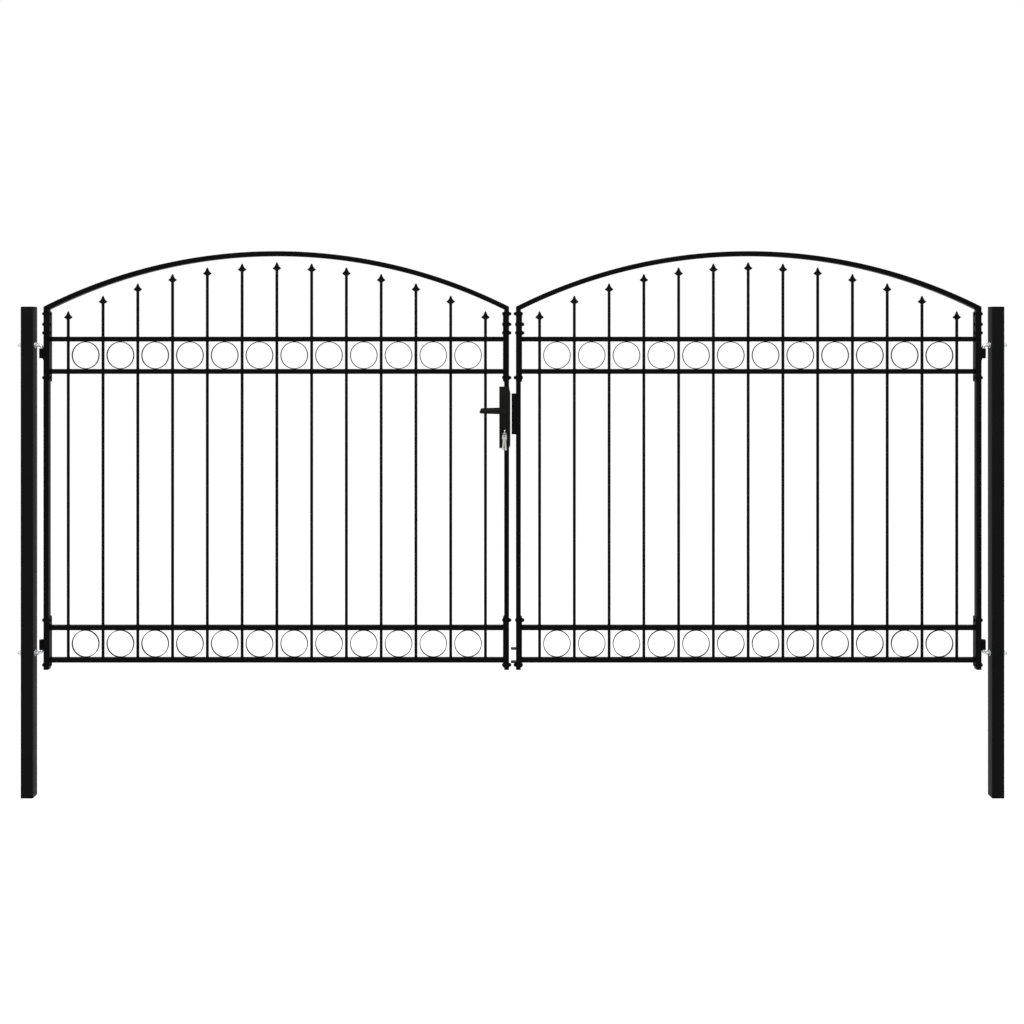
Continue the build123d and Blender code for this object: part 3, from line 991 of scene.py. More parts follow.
@dataclass
class Leaf:
    """One leaf: frame, rails, rings, bars, spearheads, bolts and hinge barrels."""

    side: Side
    finishes: Finishes
    flat: float = 5.0
    plug_head: float = 2.0
    rail: float = 20.0
    rail_heights: tuple[float, float, float, float] = (558.0, 690.0, 1735.5, 1867.5)
    rail_corner: float = 1.4
    tube_corner: float = 1.8
    arc_steps: int = 64
    arch_spare: float = 1.0
    stile_spare: float = 1.0
    ring_radius: float = 56.0
    ring_strip: float = 3.0
    ring_depth: float = 8.0
    ring_corner: float = 0.5
    ring_heights: tuple[float, float] = (624.0, 1801.5)
    spot_size: tuple[float, float, float] = (6.0, 1.7, 1.9)
    spot_sink: tuple[float, float] = (0.6, 0.4)
    bar_radius: float = 6.0
    bar_count: int = 13
    bar_pitch: float = 142.0
    bar_model: float = 1300.0
    bead_gap: float = 0.3
    bead_radius: float = 1.25
    spear_height: float = 35.0
    spear_crown_gap: float = 24.0
    spear_side_gap: float = 42.0
    barrel_length: float = 40.0
    barrel_bottoms: tuple[float, float] = (1789.0, 600.0)
    barrel_bore: float = 6.3
    barrel_round: float = 0.5
    barrel_weld: tuple[float, float] = (6.5, 7.2)
    barrel_weld_radius: float = 2.5
    barrel_weld_inset: float = 2.0
    ramp_ends: tuple[float, float] = (1770.0, 648.0)
    ramp_run: float = 8.0
    ramp_sink: float = 0.3
    ramp_round: float = 0.7
    bolt_heights: tuple[float, ...] = (1971.0, 1928.0, 1893.0, 1710.0, 720.0, 537.0)
    turned_bolts: tuple[int, ...] = (1, 2, 4)
    spear_rows: tuple[tuple[float, float, float], ...] = (
        (1.4, 6.5, 5.6),
        (4.6, 11.6, 4.9),
        (7.2, 15.4, 4.2),
        (9.2, 17.0, 3.2),
        (10.4, 17.4, 2.2),
        (11.8, 16.6, 3.0),
        (13.6, 14.0, 3.9),
        (16.4, 10.8, 4.3),
        (20.4, 7.9, 4.3),
        (24.6, 6.1, 4.0),
        (28.6, 4.8, 3.4),
        (32.0, 3.2, 2.4),
        (34.0, 1.7, 1.3),
        (34.9, 0.4, 0.4),
    )

    @property
    def body(self) -> str:
        """The body that the leaf's pieces ride on."""
        return f"{self.side.label}_leaf"

    @property
    def middle(self) -> float:
        """X of the leaf's middle."""
        return LAYOUT.leaf_x(self.side, LAYOUT.leaf_width / 2)

    def x(self, inward: float) -> float:
        """X of a point so far in from the hinge edge."""
        return LAYOUT.leaf_x(self.side, inward)

    def dress(self, piece: Piece, *nodes: str) -> Piece:
        """Finishes a piece of this leaf that stands for some of its nodes."""
        own = [f"{self.side.label}_{node}" for node in nodes]
        return self.finishes.dress(piece, Slot.LEAF, self.body, *own)

    def build(self) -> None:
        """Builds every piece of the leaf."""
        self.arch()
        self.stiles()
        self.rails()
        self.rings()
        self.bars()
        self.spearheads()
        self.barrels()
        self.bolts()
        self.finishes.dress_node(f"{self.side.label}_end_flats", Slot.LEAF)
        self.finishes.dress_node(f"{self.side.label}_stile_plugs", Slot.PLASTIC)

    def arc_z(self, offset: float, inset: float = 0.0) -> float:
        """Height of the arch's outer face, or of a line inside it, so far from the leaf's middle."""
        radius = LAYOUT.arch_radius - inset
        return LAYOUT.arch_centre + math.sqrt(radius**2 - offset**2)

    def mitre(self, piece: Piece, outer_x: float, inner_x: float, keep_below: bool) -> None:
        """Cuts a tube along the joint of arch and stile.

        Args:
            piece: The tube.
            outer_x: X of the leaf's edge there.
            inner_x: X of the stile's inner face.
            keep_below: Whether the part below the joint stays, or the part above.
        """
        inner_offset = LAYOUT.leaf_width / 2 - LAYOUT.tube_width
        edge = at(outer_x, 0, LAYOUT.leaf_top)
        inner = at(inner_x, 0, self.arc_z(inner_offset, LAYOUT.tube_width))
        along = (inner - edge).normalized()
        across = Vector((-along.z, 0, along.x))
        Bench.cut(piece, edge, across if (across.z > 0) == keep_below else -across)

    def arch(self) -> None:
        """Arched tube, spun round its centre and mitred at both ends."""
        depth, width = LAYOUT.tube_depth, LAYOUT.tube_width
        radius = LAYOUT.arch_radius - width / 2
        half = LAYOUT.leaf_width / 2
        reach = math.asin(half / LAYOUT.arch_radius) + math.radians(self.arch_spare)
        centre = at(self.middle, 0, LAYOUT.arch_centre)
        start = centre + at(-radius * math.sin(reach), 0, radius * math.cos(reach))
        Bench.clear()
        bpy.ops.mesh.primitive_plane_add(size=1, location=start, rotation=(0, QUARTER_TURN - reach, 0))
        bpy.context.view_layer.objects.active.scale = (width * MM, depth * MM, 1)
        piece = Bench.take(f"{self.side.label}_arch_tube")
        with Bench.edit(piece, everything=True):
            bpy.ops.mesh.spin(steps=self.arc_steps, angle=-2 * reach, center=centre, axis=(0, 1, 0))
        Bench.close(piece)
        for sign in (-1, 1):
            self.mitre(piece, self.middle + sign * half, self.middle + sign * (half - width), False)
        Bench.round_edges(piece, self.tube_corner)
        self.dress(piece, "arch")

    def stiles(self) -> None:
        """Hinge stile and meeting stile, mitred under the arch. The lock breaks the left meeting stile."""
        width = LAYOUT.leaf_width
        self.stile("hinge_stile", 0.0, LAYOUT.tube_width, None)
        low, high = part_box("lock_case")
        gap = (low.z / MM, high.z / MM) if self.side is Side.LEFT else None
        self.stile("meeting_stile", width, width - LAYOUT.tube_width, gap)

    def stile(self, node: str, outer: float, inner: float, gap: Optional[tuple[float, float]]) -> None:
        """Models one stile.

        Args:
            node: The node that it stands for, without its side.
            outer: Distance of its outer face from the hinge edge.
            inner: Distance of its inner face from the hinge edge.
            gap: Heights between which it is broken, if it is.
        """
        half_depth = LAYOUT.tube_depth / 2
        outer_x, inner_x = self.x(outer), self.x(inner)
        foot, top = LAYOUT.leaf_bottom + self.plug_head, LAYOUT.leaf_top + self.stile_spare
        name = f"{self.side.label}_{node}_tube"
        spans = [(foot, top)] if gap is None else [(foot, gap[0]), (gap[1], top)]
        made = []
        for low, high in spans:
            piece = Bench.block(name, at(outer_x, -half_depth, low), at(inner_x, half_depth, high))
            if high == top:
                self.mitre(piece, outer_x, inner_x, True)
            made.append(Bench.round_edges(piece, self.tube_corner))
        self.dress(Bench.join(name, made), node)

    def rails(self) -> None:
        """Four square rails between the flat bars."""
        inset, half = LAYOUT.tube_width + self.flat, self.rail / 2
        start, end = self.x(inset), self.x(LAYOUT.leaf_width - inset)
        for node, z in zip(("bottom_rail", "low_rail", "high_rail", "top_rail"), self.rail_heights):
            name = f"{self.side.label}_{node}_tube"
            piece = Bench.block(name, at(start, -half, z - half), at(end, half, z + half))
            Bench.round_edges(piece, self.rail_corner)
            self.dress(piece, node)

    def rings(self) -> None:
        """Two rows of rings, one ring modelled and repeated, with its weld spots on the rails."""
        first = self.middle - self.bar_pitch * (self.bar_count - 2) / 2
        for row, z in zip(("lower", "upper"), self.ring_heights):
            ring = self.ring(f"{self.side.label}_{row}_rings_round", first, z)
            Bench.apply(
                ring,
                "ARRAY",
                count=self.bar_count - 1,
                use_relative_offset=False,
                use_constant_offset=True,
                constant_offset_displace=(self.bar_pitch * MM, 0, 0),
            )
            self.dress(Bench.smooth(ring, 30), f"{row}_rings")

    def ring(self, name: str, x: float, z: float) -> Piece:
        """Models one ring of flat strip, with four weld spots.

        Args:
            name: The piece's name.
            x: X of its middle.
            z: Height of its middle.

        Returns:
            The ring.
        """
        middle_radius = self.ring_radius - self.ring_strip / 2
        Bench.clear()
        bpy.ops.mesh.primitive_plane_add(size=1, location=at(x + middle_radius, 0, z))
        bpy.context.view_layer.objects.active.scale = (self.ring_strip * MM, self.ring_depth * MM, 1)
        ring = Bench.take(name)
        with Bench.edit(ring, "VERT", everything=True):
            bpy.ops.mesh.bevel(offset=self.ring_corner * MM, segments=1, affect="VERTICES")
            bpy.ops.mesh.select_all(action="SELECT")
            bpy.ops.mesh.delete(type="ONLY_FACE")
            bpy.ops.mesh.select_all(action="SELECT")
            bpy.ops.mesh.spin(steps=self.arc_steps, angle=FULL_TURN, center=at(x, 0, z), axis=(0, 1, 0))
        Bench.close(ring)
        spot_y, spot_z = self.ring_depth / 2 - self.spot_sink[0], self.ring_radius - self.spot_sink[1]
        spots = []
        for up in (-1, 1):
            for back in (-1, 1):
                place = at(x, back * spot_y, z + up * spot_z)
                spots.append(weld_spot(f"{name}_weld", place, at(*self.spot_size)))
        return Bench.join(name, [ring, *spots])

    def spear_tip(self, offset: float) -> float:
        """Height of a spearhead's tip. The tips stand on an arc of their own, flatter than the arch.

        Args:
            offset: Distance of its bar from the leaf's middle.

        Returns:
            The height.
        """
        width = LAYOUT.tube_width
        reach = self.bar_pitch * (self.bar_count - 1) / 2
        crown = LAYOUT.leaf_top + LAYOUT.arch_rise - width - self.spear_crown_gap
        drop = crown - (self.arc_z(reach, width) - self.spear_side_gap)
        radius = (reach**2 + drop**2) / (2 * drop)
        return crown - radius + math.sqrt(radius**2 - offset**2)

    def bar_offsets(self) -> list[float]:
        """Offsets of the bars from the leaf's middle."""
        return [self.bar_pitch * (i - (self.bar_count - 1) / 2) for i in range(self.bar_count)]

    def bars(self) -> None:
        """Round bars, each copied from one and cut to its length, with weld beads at the rails."""
        foot = self.rail_heights[0] + self.rail / 2
        model_top = foot + self.bar_model
        bar = Bench.rod("bar", at(self.middle, 0, foot), at(self.middle, 0, model_top), self.bar_radius)
        levels = [foot] + [z + sign * self.rail / 2 for z in self.rail_heights[1:] for sign in (-1, 1)]
        bead_set = Bench.join("beads", [self.bead(z) for z in levels])
        made = []
        for offset in self.bar_offsets():
            twin = Bench.copy(bar, "bar_copy", at(offset, 0, 0))
            top = self.spear_tip(offset) - self.spear_height
            with Bench.edit(twin):
                Bench.pick_faces(twin, lambda place, normal: normal.z > 0.9)
                bpy.ops.transform.translate(value=at(0, 0, top - model_top))
            made += [twin, Bench.copy(bead_set, "bead_copy", at(offset, 0, 0))]
        for used in (bar, bead_set):
            bpy.data.objects.remove(used)
        piece = Bench.join(f"{self.side.label}_bars_round", made)
        self.dress(Bench.smooth(piece, 40), "bars")

    def bead(self, z: float) -> Piece:
        """Models the weld round the leaf's middle bar where it meets a rail.

        Args:
            z: Height of the rail's face.

        Returns:
            The weld.
        """
        Bench.clear()
        bpy.ops.mesh.primitive_torus_add(
            major_radius=(self.bar_radius + self.bead_gap) * MM,
            minor_radius=self.bead_radius * MM,
            major_segments=20,
            minor_segments=6,
            location=at(self.middle, 0, z),
        )
        return Bench.take("bead")

    def spearheads(self) -> None:
        """Cast spearheads with hollow flanks and a soft middle ridge."""
        model_tip = self.spear_tip(0.0)
        foot = at(self.middle, 0, model_tip - self.spear_height)
        Bench.clear()
        bpy.ops.mesh.primitive_circle_add(
            vertices=12, radius=self.bar_radius * MM, fill_type="NGON", location=foot
        )
        spear = Bench.take("spear")
        height, width, depth = 0.0, self.bar_radius, self.bar_radius
        with Bench.edit(spear, everything=True):
            for next_height, next_width, next_depth in self.spear_rows:
                Bench.extrude(at(0, 0, next_height - height))
                bpy.ops.transform.resize(
                    value=(next_width / width, next_depth / depth, 1),
                    center_override=foot + at(0, 0, next_height),
                )
                height, width, depth = next_height, next_width, next_depth
        Bench.smooth(Bench.close(spear), 50)
        made = []
        for offset in self.bar_offsets():
            shift = at(offset, 0, self.spear_tip(offset) - model_tip)
            made.append(Bench.copy(spear, "spear_copy", shift))
        bpy.data.objects.remove(spear)
        self.dress(Bench.join(f"{self.side.label}_spearheads_cast", made), "spearheads")

    def barrels(self) -> None:
        """Two hinge barrels, bored for their pintles, with the welds that hold them."""
        x = self.x(-LAYOUT.barrel_radius)
        weld_x = x + self.side.value * self.barrel_weld[0]
        made = []
        for bottom, ramp_end in zip(self.barrel_bottoms, self.ramp_ends):
            top = bottom + self.barrel_length
            barrel = Bench.rod("barrel", at(x, 0, bottom), at(x, 0, top), LAYOUT.barrel_radius, 40)
            bore_ends = at(x, 0, bottom - OVERRUN), at(x, 0, top + OVERRUN)
            Bench.carve(barrel, Bench.rod("bore", *bore_ends, self.barrel_bore, 32))
            made.append(Bench.round_edges(barrel, self.barrel_round, 2))
            weld_ends = bottom + self.barrel_weld_inset, top - self.barrel_weld_inset
            for back in (-1, 1):
                low, high = (at(weld_x, back * self.barrel_weld[1], z) for z in weld_ends)
                made.append(weld_bead("barrel_weld", low, high, self.barrel_weld_radius))
            made.append(self.ramp(bottom if ramp_end < bottom else top, ramp_end))
        self.dress(Bench.join(f"{self.side.label}_barrels_turned", made), "barrels")

    def ramp(self, foot: float, end: float) -> Piece:
        """Models the weld that slopes from the free end of a barrel to the stile.

        Args:
            foot: Height of the barrel's end.
            end: Height at which the weld runs out.

        Returns:
            The weld.
        """
        half = self.ramp_run / 2
        stile_x, outer_x = self.x(self.ramp_sink), self.x(-self.ramp_run)
        weld = Bench.block("barrel_ramp", at(stile_x, -half, foot), at(outer_x, half, end))
        along = at(outer_x - stile_x, 0, foot - end)
        outward = Vector((along.z, 0, -along.x))
        Bench.cut(weld, at(outer_x, 0, foot), outward if outward.x * self.side.value < 0 else -outward)
        return Bench.round_edges(weld, self.ramp_round, 2, 25)

    def bolts(self) -> None:
        """Bolts through both stiles: some nuts face out and some in, as on the real gate."""
        width, tube, flat = LAYOUT.leaf_width, LAYOUT.tube_width, self.flat
        for node, outer, inner in (
            ("hinge", self.x(0.0), self.x(tube + flat)),
            ("meeting", self.x(width), self.x(width - tube - flat)),
        ):
            turned = self.turned_bolts if node == "meeting" and self.side is Side.RIGHT else ()
            made = []
            for number, z in enumerate(self.bolt_heights):
                head_x, nut_x = (outer, inner) if number in turned else (inner, outer)
                made.append(StileBolt().build("bolt", head_x, nut_x, z))
            self.dress(Bench.join(f"{self.side.label}_{node}_bolts", made))


def weld_spot(name: str, place: Point, size: Point) -> Piece:
    """Models a small flattened drop of weld.

    Args:
        name: The piece's name.
        place: Its middle.
        size: Half its length along each axis.

    Returns:
        The drop.
    """
    Bench.clear()
    bpy.ops.mesh.primitive_ico_sphere_add(subdivisions=2, radius=1, location=place)
    bpy.context.view_layer.objects.active.scale = size
    return Bench.smooth(Bench.take(name), 80)


def weld_bead(name: str, start: Point, end: Point, radius: float) -> Piece:
    """Models a straight weld bead with soft ripples and rounded ends.

    Args:
        name: The piece's name.
        start: One end.
        end: The other end.
        radius: Its radius, in millimetres.

    Returns:
        The bead.
    """
    start, end = Vector(start), Vector(end)
    size = radius * MM
    along = (end - start).normalized()
    across = along.orthogonal().normalized()
    steps = max(6, int((end - start).length / (size * BEAD_STEP)))
    outline = [start]
    for step in range(1, steps):
        share = step / steps
        swell = min(1.0, BEAD_TAPER * share, BEAD_TAPER * (1 - share)) ** 0.5
        ripple = 1.0 + BEAD_RIPPLE * (-1) ** step
        outline.append(start + (end - start) * share + across * size * swell * ripple)
    outline.append(end)
    return Bench.smooth(Bench.lathe(name, start, along, outline, 10), 80)


# Lock and keeper


@dataclass
class Lock:
    """Lock on the left leaf: case, plates, levers, cylinder, key and spare keys."""

    finishes: Finishes
    free_edge: float = 1966.0
    plate_width: float = 45.0
    bottom: float = 1423.5
    top: float = 1673.5
    plate_thickness: float = 3.0
    plate_round: float = 0.8
    overhang: float = 5.0
    top_slant: float = 28.0
    bottom_slant: float = 12.0
    case_inset: float = 1.0
    case_end_inset: float = 7.0
    case_round: float = 0.6
    neck_radius: float = 8.0
    neck_sink: float = 1.0
    neck_reach: float = 2.0
    spindle_bore: float = 7.0
    cylinder_bore: float = 8.8
    collar_height: float = 2.2
    lever_length: float = 101.0
    root_radius: float = 10.5
    tip_radius: float = 7.5
    grip_thickness: float = 13.0
    grip_round: float = 3.6
    proud: float = 52.0
    cylinder_radius: float = 8.5
    cylinder_leg: float = 10.0
    cylinder_height: float = 33.0
    cylinder_length: float = 50.0
    cylinder_round: float = 0.35
    plug_radius: float = 6.5
    plug_round: float = 0.25
    play: float = 0.1
    slot_depths: tuple[float, float] = (26.0, 12.0)
    key_thickness: float = 2.2
    key_round: float = 0.3
    bow_y: float = -40.0
    bow_z: float = 1491.5
    bow_radius: float = 11.0
    bow_hole: float = 4.0
    hang_y: float = -44.5
    blade_height: float = 8.0
    blade_end: float = -1.0
    ring_radius: float = 5.7
    ring_turn: float = 45.0
    wire_radius: float = 0.8
    wire_share: float = 0.55
    wire_gap: float = 0.35
    spare_bow: float = 21.0
    spare_width: float = 17.0
    spare_corner: float = 5.0
    spare_rim: float = 2.5
    spare_hole: float = 3.0
    spare_blade: float = 8.0
    spare_length: float = 63.0
    spare_turn: float = 14.0
    spare_swings: tuple[float, float] = (-7.0, 5.0)
    spare_spacing: float = 3.0
    spare_lean: float = 0.3
    shoulder_step: float = 1.5
    shoulder_run: float = 3.0
    notch_count: int = 5
    notch_first: float = 5.0
    notch_pitch: float = 5.5
    notch_radius: float = 2.4
    notch_proud: float = 0.6
    groove_sides: tuple[float, float] = (-2.2, -0.6)
    groove_depth: float = 0.5
    groove_stop: float = 4.0
    drill_reach: float = 3.0
    tool_past: float = 1.0

    def build(self) -> None:
        """Builds every piece of the lock."""
        self.housing()
        self.levers()
        self.cylinder()
        self.key()
        self.spare_keys()
        self.finishes.dress_node("lever_spindle", Slot.ZINC)

    def slanted_block(self, name: str, low: Vector, high: Vector) -> Piece:
        """Models a block whose free edge is slanted back at both ends.

        Args:
            name: The piece's name.
            low: Its lowest corner.
            high: Its highest corner, on the free edge.

        Returns:
            The block.
        """
        piece = Bench.block(name, low, high)
        for z, run, upward in ((low.z, self.bottom_slant, -1), (high.z, self.top_slant, 1)):
            place = Vector((high.x, 0, z - upward * run * MM))
            Bench.cut(piece, place, (run, 0, upward * self.overhang))
        return piece

    def housing(self) -> None:
        """Lock case and its two plates."""
        half = LAYOUT.tube_depth / 2
        left = self.free_edge - self.plate_width
        outer = half + self.plate_thickness
        for node, near, far in (("front", -outer, -half), ("back", half, outer)):
            low, high = at(left, near, self.bottom), at(self.free_edge, far, self.top)
            plate = self.slanted_block(f"lock_plate_{node}_bevelled", low, high)
            Bench.round_edges(plate, self.plate_round)
            self.finishes.dress(plate, Slot.LOCK, "left_leaf", f"lock_plate_{node}")
        inset, end = self.case_inset, self.case_end_inset
        low = at(left + inset, -half, self.bottom + end)
        high = at(self.free_edge - inset, half, self.top - end)
        case = self.slanted_block("lock_case_body", low, high)
        for z, radius in ((LAYOUT.spindle_z, self.spindle_bore), (LAYOUT.key_z, self.cylinder_bore)):
            bore_ends = -half - OVERRUN, half + OVERRUN
            Bench.carve(case, Bench.cross_rod("bore", (LAYOUT.spindle_x, z), *bore_ends, radius, 32))
        Bench.round_edges(case, self.case_round, 2)
        self.finishes.dress(case, Slot.LOCK, "left_leaf", "lock_case")

    def levers(self) -> None:
        """Both lever handles."""
        for node, outward in (("lever_front", -1), ("lever_back", 1)):
            self.lever(node, outward)

    def lever(self, node: str, outward: int) -> None:
        """Tapered lever handle with rounded edges on a round neck.

        Args:
            node: The node that it stands for.
            outward: Sign of Y away from the gate.
        """
        x, z = LAYOUT.spindle_x, LAYOUT.spindle_z
        face = LAYOUT.tube_depth / 2 + self.plate_thickness
        inner = outward * (face + self.proud - self.grip_thickness)
        outer = outward * (face + self.proud)
        root = Bench.cross_rod("root", (x, z), inner, outer, self.root_radius, 40)
        tip_x = x - self.lever_length + self.tip_radius
        tip = Bench.cross_rod("tip", (tip_x, z), inner, outer, self.tip_radius, 40)
        grip = Bench.join("grip", [root, tip])
        with Bench.edit(grip, "VERT", everything=True):
            bpy.ops.mesh.convex_hull()
            bpy.ops.mesh.dissolve_limited(angle_limit=math.radians(1))
        Bench.round_edges(Bench.close(grip), self.grip_round, 5, 50)
        neck_ends = outward * (face - self.neck_sink), inner + outward * self.neck_reach
        neck = Bench.cross_rod("neck", (x, z), *neck_ends, self.neck_radius, 40)
        Bench.round_edges(neck, 0.6, 2)
        collar_ends = outward * face, outward * (face + self.collar_height)
        collar = Bench.cross_rod("collar", (x, z), *collar_ends, self.root_radius, 40)
        Bench.round_edges(collar, self.plate_round, 2)
        piece = Bench.join(f"{node}_cast", [grip, neck, collar])
        self.finishes.dress(piece, Slot.LOCK, "lever", node)

    def cylinder(self) -> None:
        """Profile cylinder and the plug that turns in it, slotted for the key."""
        x, z = place = LAYOUT.spindle_x, LAYOUT.key_z
        half = self.cylinder_length / 2
        body = Bench.cross_rod("lock_cylinder_profile", place, -half, half, self.cylinder_radius, 48)
        leg_foot = z - (self.cylinder_height - self.cylinder_radius)
        leg_half = self.cylinder_leg / 2
        leg = Bench.block("leg", at(x - leg_half, -half, leg_foot), at(x + leg_half, half, z))
        Bench.carve(body, leg, "UNION")
        bore_ends = -half - OVERRUN, half + OVERRUN
        Bench.carve(body, Bench.cross_rod("bore", place, *bore_ends, self.plug_radius + self.play, 48))
        Bench.round_edges(body, self.cylinder_round, 2)
        # The cylinder's nickel finish carries painted shade: it is darker than real nickel, as the cylinder's
        # face lies in shade
        self.finishes.dress(body, Slot.NICKEL, "left_leaf", "lock_cylinder")
        plug = Bench.cross_rod("key_plug_turned", place, -half, half, self.plug_radius, 48)
        wide, rise = self.key_thickness / 2 + self.play, self.blade_height / 2 + self.play
        front, back = self.slot_depths
        for near, far in ((-half - self.tool_past, -half + front), (half - back, half + self.tool_past)):
            low, high = at(x - wide, near, z - rise), at(x + wide, far, z + rise)
            Bench.carve(plug, Bench.block("slot", low, high))
        Bench.round_edges(plug, self.plug_round, 2)
        # The plug's nickel finish carries the same painted shade
        self.finishes.dress(plug, Slot.NICKEL, "key_set", "key_plug")

    def key(self) -> None:
        """Key in the cylinder: a blade and a bow with a hole for the ring."""
        x, z = LAYOUT.spindle_x, LAYOUT.key_z
        half, rise = self.key_thickness / 2, self.blade_height / 2
        ends = at(x - half, self.bow_y, self.bow_z), at(x + half, self.bow_y, self.bow_z)
        bow = Bench.rod("key_cut", *ends, self.bow_radius, 48)
        blade_low, blade_high = at(x - half, self.bow_y, z - rise), at(x + half, self.blade_end, z + rise)
        Bench.carve(bow, Bench.block("blade", blade_low, blade_high), "UNION")
        hole_ends = (at(x + end * self.drill_reach, self.hang_y, self.bow_z) for end in (-1, 1))
        Bench.carve(bow, Bench.rod("hole", *hole_ends, self.bow_hole, 32))
        Bench.round_edges(bow, self.key_round, 2)
        self.finishes.dress(bow, Slot.KEY, "key_set", "key")

    def spare_keys(self) -> None:
        """Two spare keys hanging on a split ring through the bow of the key in the lock."""
        x, y = LAYOUT.spindle_x, self.hang_y
        ring_z = self.bow_z - self.bow_hole + self.wire_radius - self.ring_radius
        made = []
        for turn in (-1, 1):
            Bench.clear()
            bpy.ops.mesh.primitive_torus_add(
                major_radius=self.ring_radius * MM,
                minor_radius=self.wire_radius * self.wire_share * MM,
                major_segments=48,
                minor_segments=10,
                location=at(x, y + turn * self.wire_gap, ring_z),
                rotation=(QUARTER_TURN, 0, math.radians(self.ring_turn)),
            )
            made.append(Bench.smooth(Bench.take("ring_turn"), 80))
        hang_z = ring_z - self.ring_radius + self.wire_radius
        for back, swing in zip((-0.5, 0.5), self.spare_swings):
            shift = back * self.spare_spacing
            made.append(self.spare_key(at(x + shift * self.spare_lean, y + shift, hang_z), swing))
        self.finishes.dress(Bench.join("spare_keys_cut", made), Slot.KEY, "key_set", "spare_keys")

    def spare_key(self, hang: Vector, swing: float) -> Piece:
        """Models one spare key flat on, then swings and turns it about the point that it hangs from.

        Args:
            hang: Top of the wire that it hangs on.
            swing: Degrees that its tip swings to the right.

        Returns:
            The key.
        """
        x, y, z = hang / MM
        half, wide, blade = self.key_thickness / 2, self.spare_width / 2, self.spare_blade / 2
        top = z + self.spare_rim
        foot, tip = top - self.spare_bow, top - self.spare_length
        key = Bench.block("spare", at(x - wide, y - half, foot), at(x + wide, y + half, top))
        Bench.round_corners(key, self.spare_corner, 6, 1)
        run = self.shoulder_run
        for reach, low in ((blade, tip), (blade + self.shoulder_step, foot - run)):
            part = Bench.block("blade", at(x - reach, y - half, low), at(x + reach, y + half, foot + run))
            Bench.carve(key, part, "UNION")
        drill = y - self.drill_reach, y + self.drill_reach
        for level in range(self.notch_count):
            place = x + blade + self.notch_proud, tip + self.notch_first + self.notch_pitch * level
            Bench.carve(key, Bench.cross_rod("notch", place, *drill, self.notch_radius, 4))
        left, right = (x + side for side in self.groove_sides)
        for back in (-1, 1):
            low = at(left, y + back * (half - self.groove_depth), tip - self.tool_past)
            high = at(right, y + back * (half + self.tool_past), foot - self.groove_stop)
            Bench.carve(key, Bench.block("groove", low, high))
        Bench.carve(key, Bench.cross_rod("hole", (x, z - self.spare_hole), *drill, self.spare_hole, 32))
        Bench.round_edges(key, self.key_round, 2)
        for angle, axis in ((swing, "Y"), (self.spare_turn, "Z")):
            with Bench.edit(key, "VERT", everything=True):
                bpy.ops.transform.rotate(value=math.radians(angle), orient_axis=axis, center_override=hang)
        return key


@dataclass
class Keeper:
    """Keeper box and bolt guides on the right leaf."""

    finishes: Finishes
    pocket_half: float = 8.0
    latch_half: float = 12.0
    bolt_half: float = 20.0
    bolt_drop: float = 52.5
    wall: float = 3.0
    edge_round: float = 0.8

    def build(self) -> None:
        """Builds the keeper with its pockets."""
        low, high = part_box("keeper")
        keeper = Bench.block("keeper_box", low, high)
        depth = high.x - self.wall * MM
        pockets = ((LAYOUT.spindle_z, self.latch_half), (LAYOUT.spindle_z - self.bolt_drop, self.bolt_half))
        for z, half in pockets:
            near = Vector((low.x - OVERRUN * MM, -self.pocket_half * MM, (z - half) * MM))
            far = Vector((depth, self.pocket_half * MM, (z + half) * MM))
            Bench.carve(keeper, Bench.block("pocket", near, far))
        Bench.round_edges(keeper, self.edge_round, 2)
        self.finishes.dress(keeper, Slot.LEAF, "right_leaf", "keeper")
        self.finishes.dress_node("bolt_guides", Slot.LEAF)


# Studio


@dataclass(frozen=True)
class SoftLamp:
    """Large rectangular lamp. Its place is in millimetres, its size in metres and its power in watts."""

    name: str
    place: tuple[float, float, float]
    size: tuple[float, float]
    power: float

    def build(self, target: Vector) -> None:
        """Builds the lamp.

        Args:
            target: The point that it faces.
        """
        light = bpy.data.lights.new(self.name, "AREA")
        light.shape = "RECTANGLE"
        light.size, light.size_y = self.size
        light.energy = self.power
        lamp = bpy.data.objects.new(self.name, light)
        lamp.location = at(*self.place)
        lamp.rotation_euler = (target - at(*self.place)).to_track_quat("-Z", "Y").to_euler()
        bpy.context.scene.collection.objects.link(lamp)


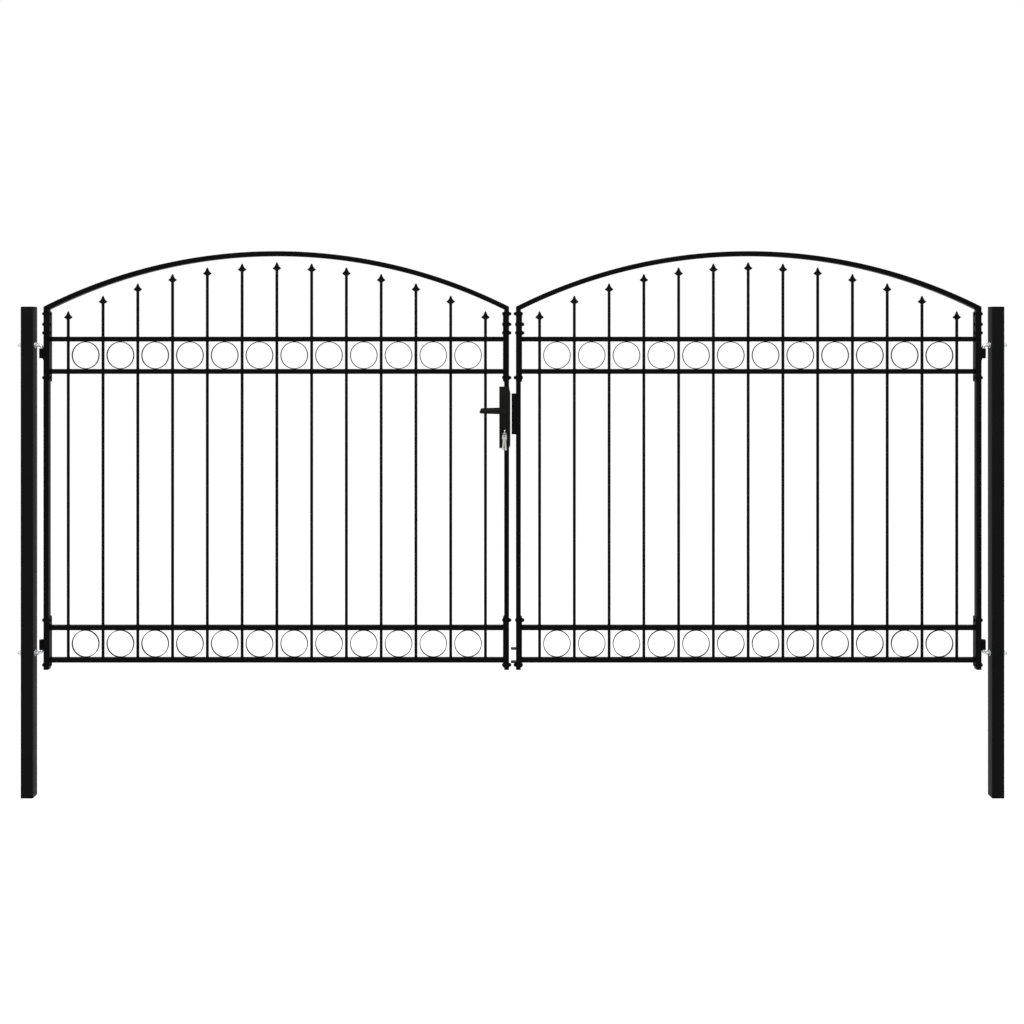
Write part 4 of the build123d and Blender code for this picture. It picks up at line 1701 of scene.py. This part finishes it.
@dataclass
class Studio:
    """Camera, soft lamps, pale floor and white surroundings."""

    camera_place: tuple[float, float, float] = (1975.0, -5025.0, 1864.0)
    lens: float = 43.25
    sensor: float = 36.0
    shift: tuple[float, float] = (-0.0005, -0.168)
    clip_end: float = 100.0
    world_light: float = 0.4
    lamp_target: tuple[float, float, float] = (1975.0, 0.0, 1200.0)
    lamps: tuple[SoftLamp, ...] = (
        SoftLamp("lamp_above", (1975.0, -2600.0, 5200.0), (5.0, 2.0), 205.0),
        SoftLamp("lamp_left", (-3600.0, -1400.0, 2400.0), (2.0, 3.0), 70.0),
        SoftLamp("lamp_right", (7550.0, -1400.0, 2400.0), (2.0, 3.0), 70.0),
    )
    floor_grey: float = 0.8
    floor_seen_grey: float = 0.35
    floor_glow: float = 0.86
    floor_size: float = 60.0

    def build(self) -> None:
        """Builds the camera, the light and the floor."""
        self.camera()
        self.world()
        for lamp in self.lamps:
            lamp.build(at(*self.lamp_target))
        self.floor()
        bpy.context.scene.view_settings.view_transform = "Standard"

    def camera(self) -> None:
        """Level camera at the photograph's place and angle."""
        lens = bpy.data.cameras.new("camera")
        lens.lens = self.lens
        lens.sensor_width = self.sensor
        lens.shift_x, lens.shift_y = self.shift
        lens.clip_end = self.clip_end
        camera = bpy.data.objects.new("camera", lens)
        camera.location = at(*self.camera_place)
        camera.rotation_euler = (QUARTER_TURN, 0, 0)
        bpy.context.scene.collection.objects.link(camera)
        bpy.context.scene.camera = camera

    @staticmethod
    def seen(desk: Desk) -> Wire:
        """Tells the rays that show the surroundings, to the camera or in metal, from all others.

        Args:
            desk: The tree that asks.

        Returns:
            One for those rays and nought for the others.
        """
        kinds = ("Camera", "Glossy", "Transmission")
        rays = [desk.node("ShaderNodeLightPath", out=f"Is {kind} Ray") for kind in kinds]
        return rays[0] + rays[1] + rays[2]

    def world(self) -> None:
        """White to the camera, soft grey to the object."""
        world = bpy.data.worlds.new("studio")
        bpy.context.scene.world = world
        desk = Desk(world)
        white = desk.node("ShaderNodeBackground", {}, {"Color": WHITE, "Strength": 1.0})
        soft = desk.node("ShaderNodeBackground", {}, {"Color": WHITE, "Strength": self.world_light})
        mixed = desk.node("ShaderNodeMixShader", {}, {0: self.seen(desk), 1: soft, 2: white})
        desk.node("ShaderNodeOutputWorld", {}, {"Surface": mixed})

    def floor(self) -> None:
        """Pale floor that keeps the shadow, with a glow that the camera sees as the white of the world."""
        Bench.clear()
        bpy.ops.mesh.primitive_plane_add(size=self.floor_size, location=at(LAYOUT.centre, 0, 0))
        floor = Bench.take("floor")
        material = bpy.data.materials.new("pale_floor")
        desk = Desk(material)
        greys = [(grey, grey, grey, 1) for grey in (self.floor_grey, self.floor_seen_grey)]
        pale, faint = (desk.node("ShaderNodeBsdfDiffuse", {}, {"Color": grey}) for grey in greys)
        glow = desk.node("ShaderNodeEmission", {}, {"Color": WHITE, "Strength": self.floor_glow})
        shown = desk.node("ShaderNodeAddShader", {}, {0: faint, 1: glow})
        mixed = desk.node("ShaderNodeMixShader", {}, {0: self.seen(desk), 1: pale, 2: shown})
        desk.node("ShaderNodeOutputMaterial", {}, {"Surface": mixed})
        floor.data.materials.append(material)


def main() -> None:
    """Builds the gate and its studio."""
    logging.basicConfig(level=logging.INFO, format="%(message)s")
    finishes = Finishes()
    for side in Side:
        Post(side, finishes).build()
        Leaf(side, finishes).build()
    Lock(finishes).build()
    Keeper(finishes).build()
    Studio().build()


if __name__ == "__main__":
    main()
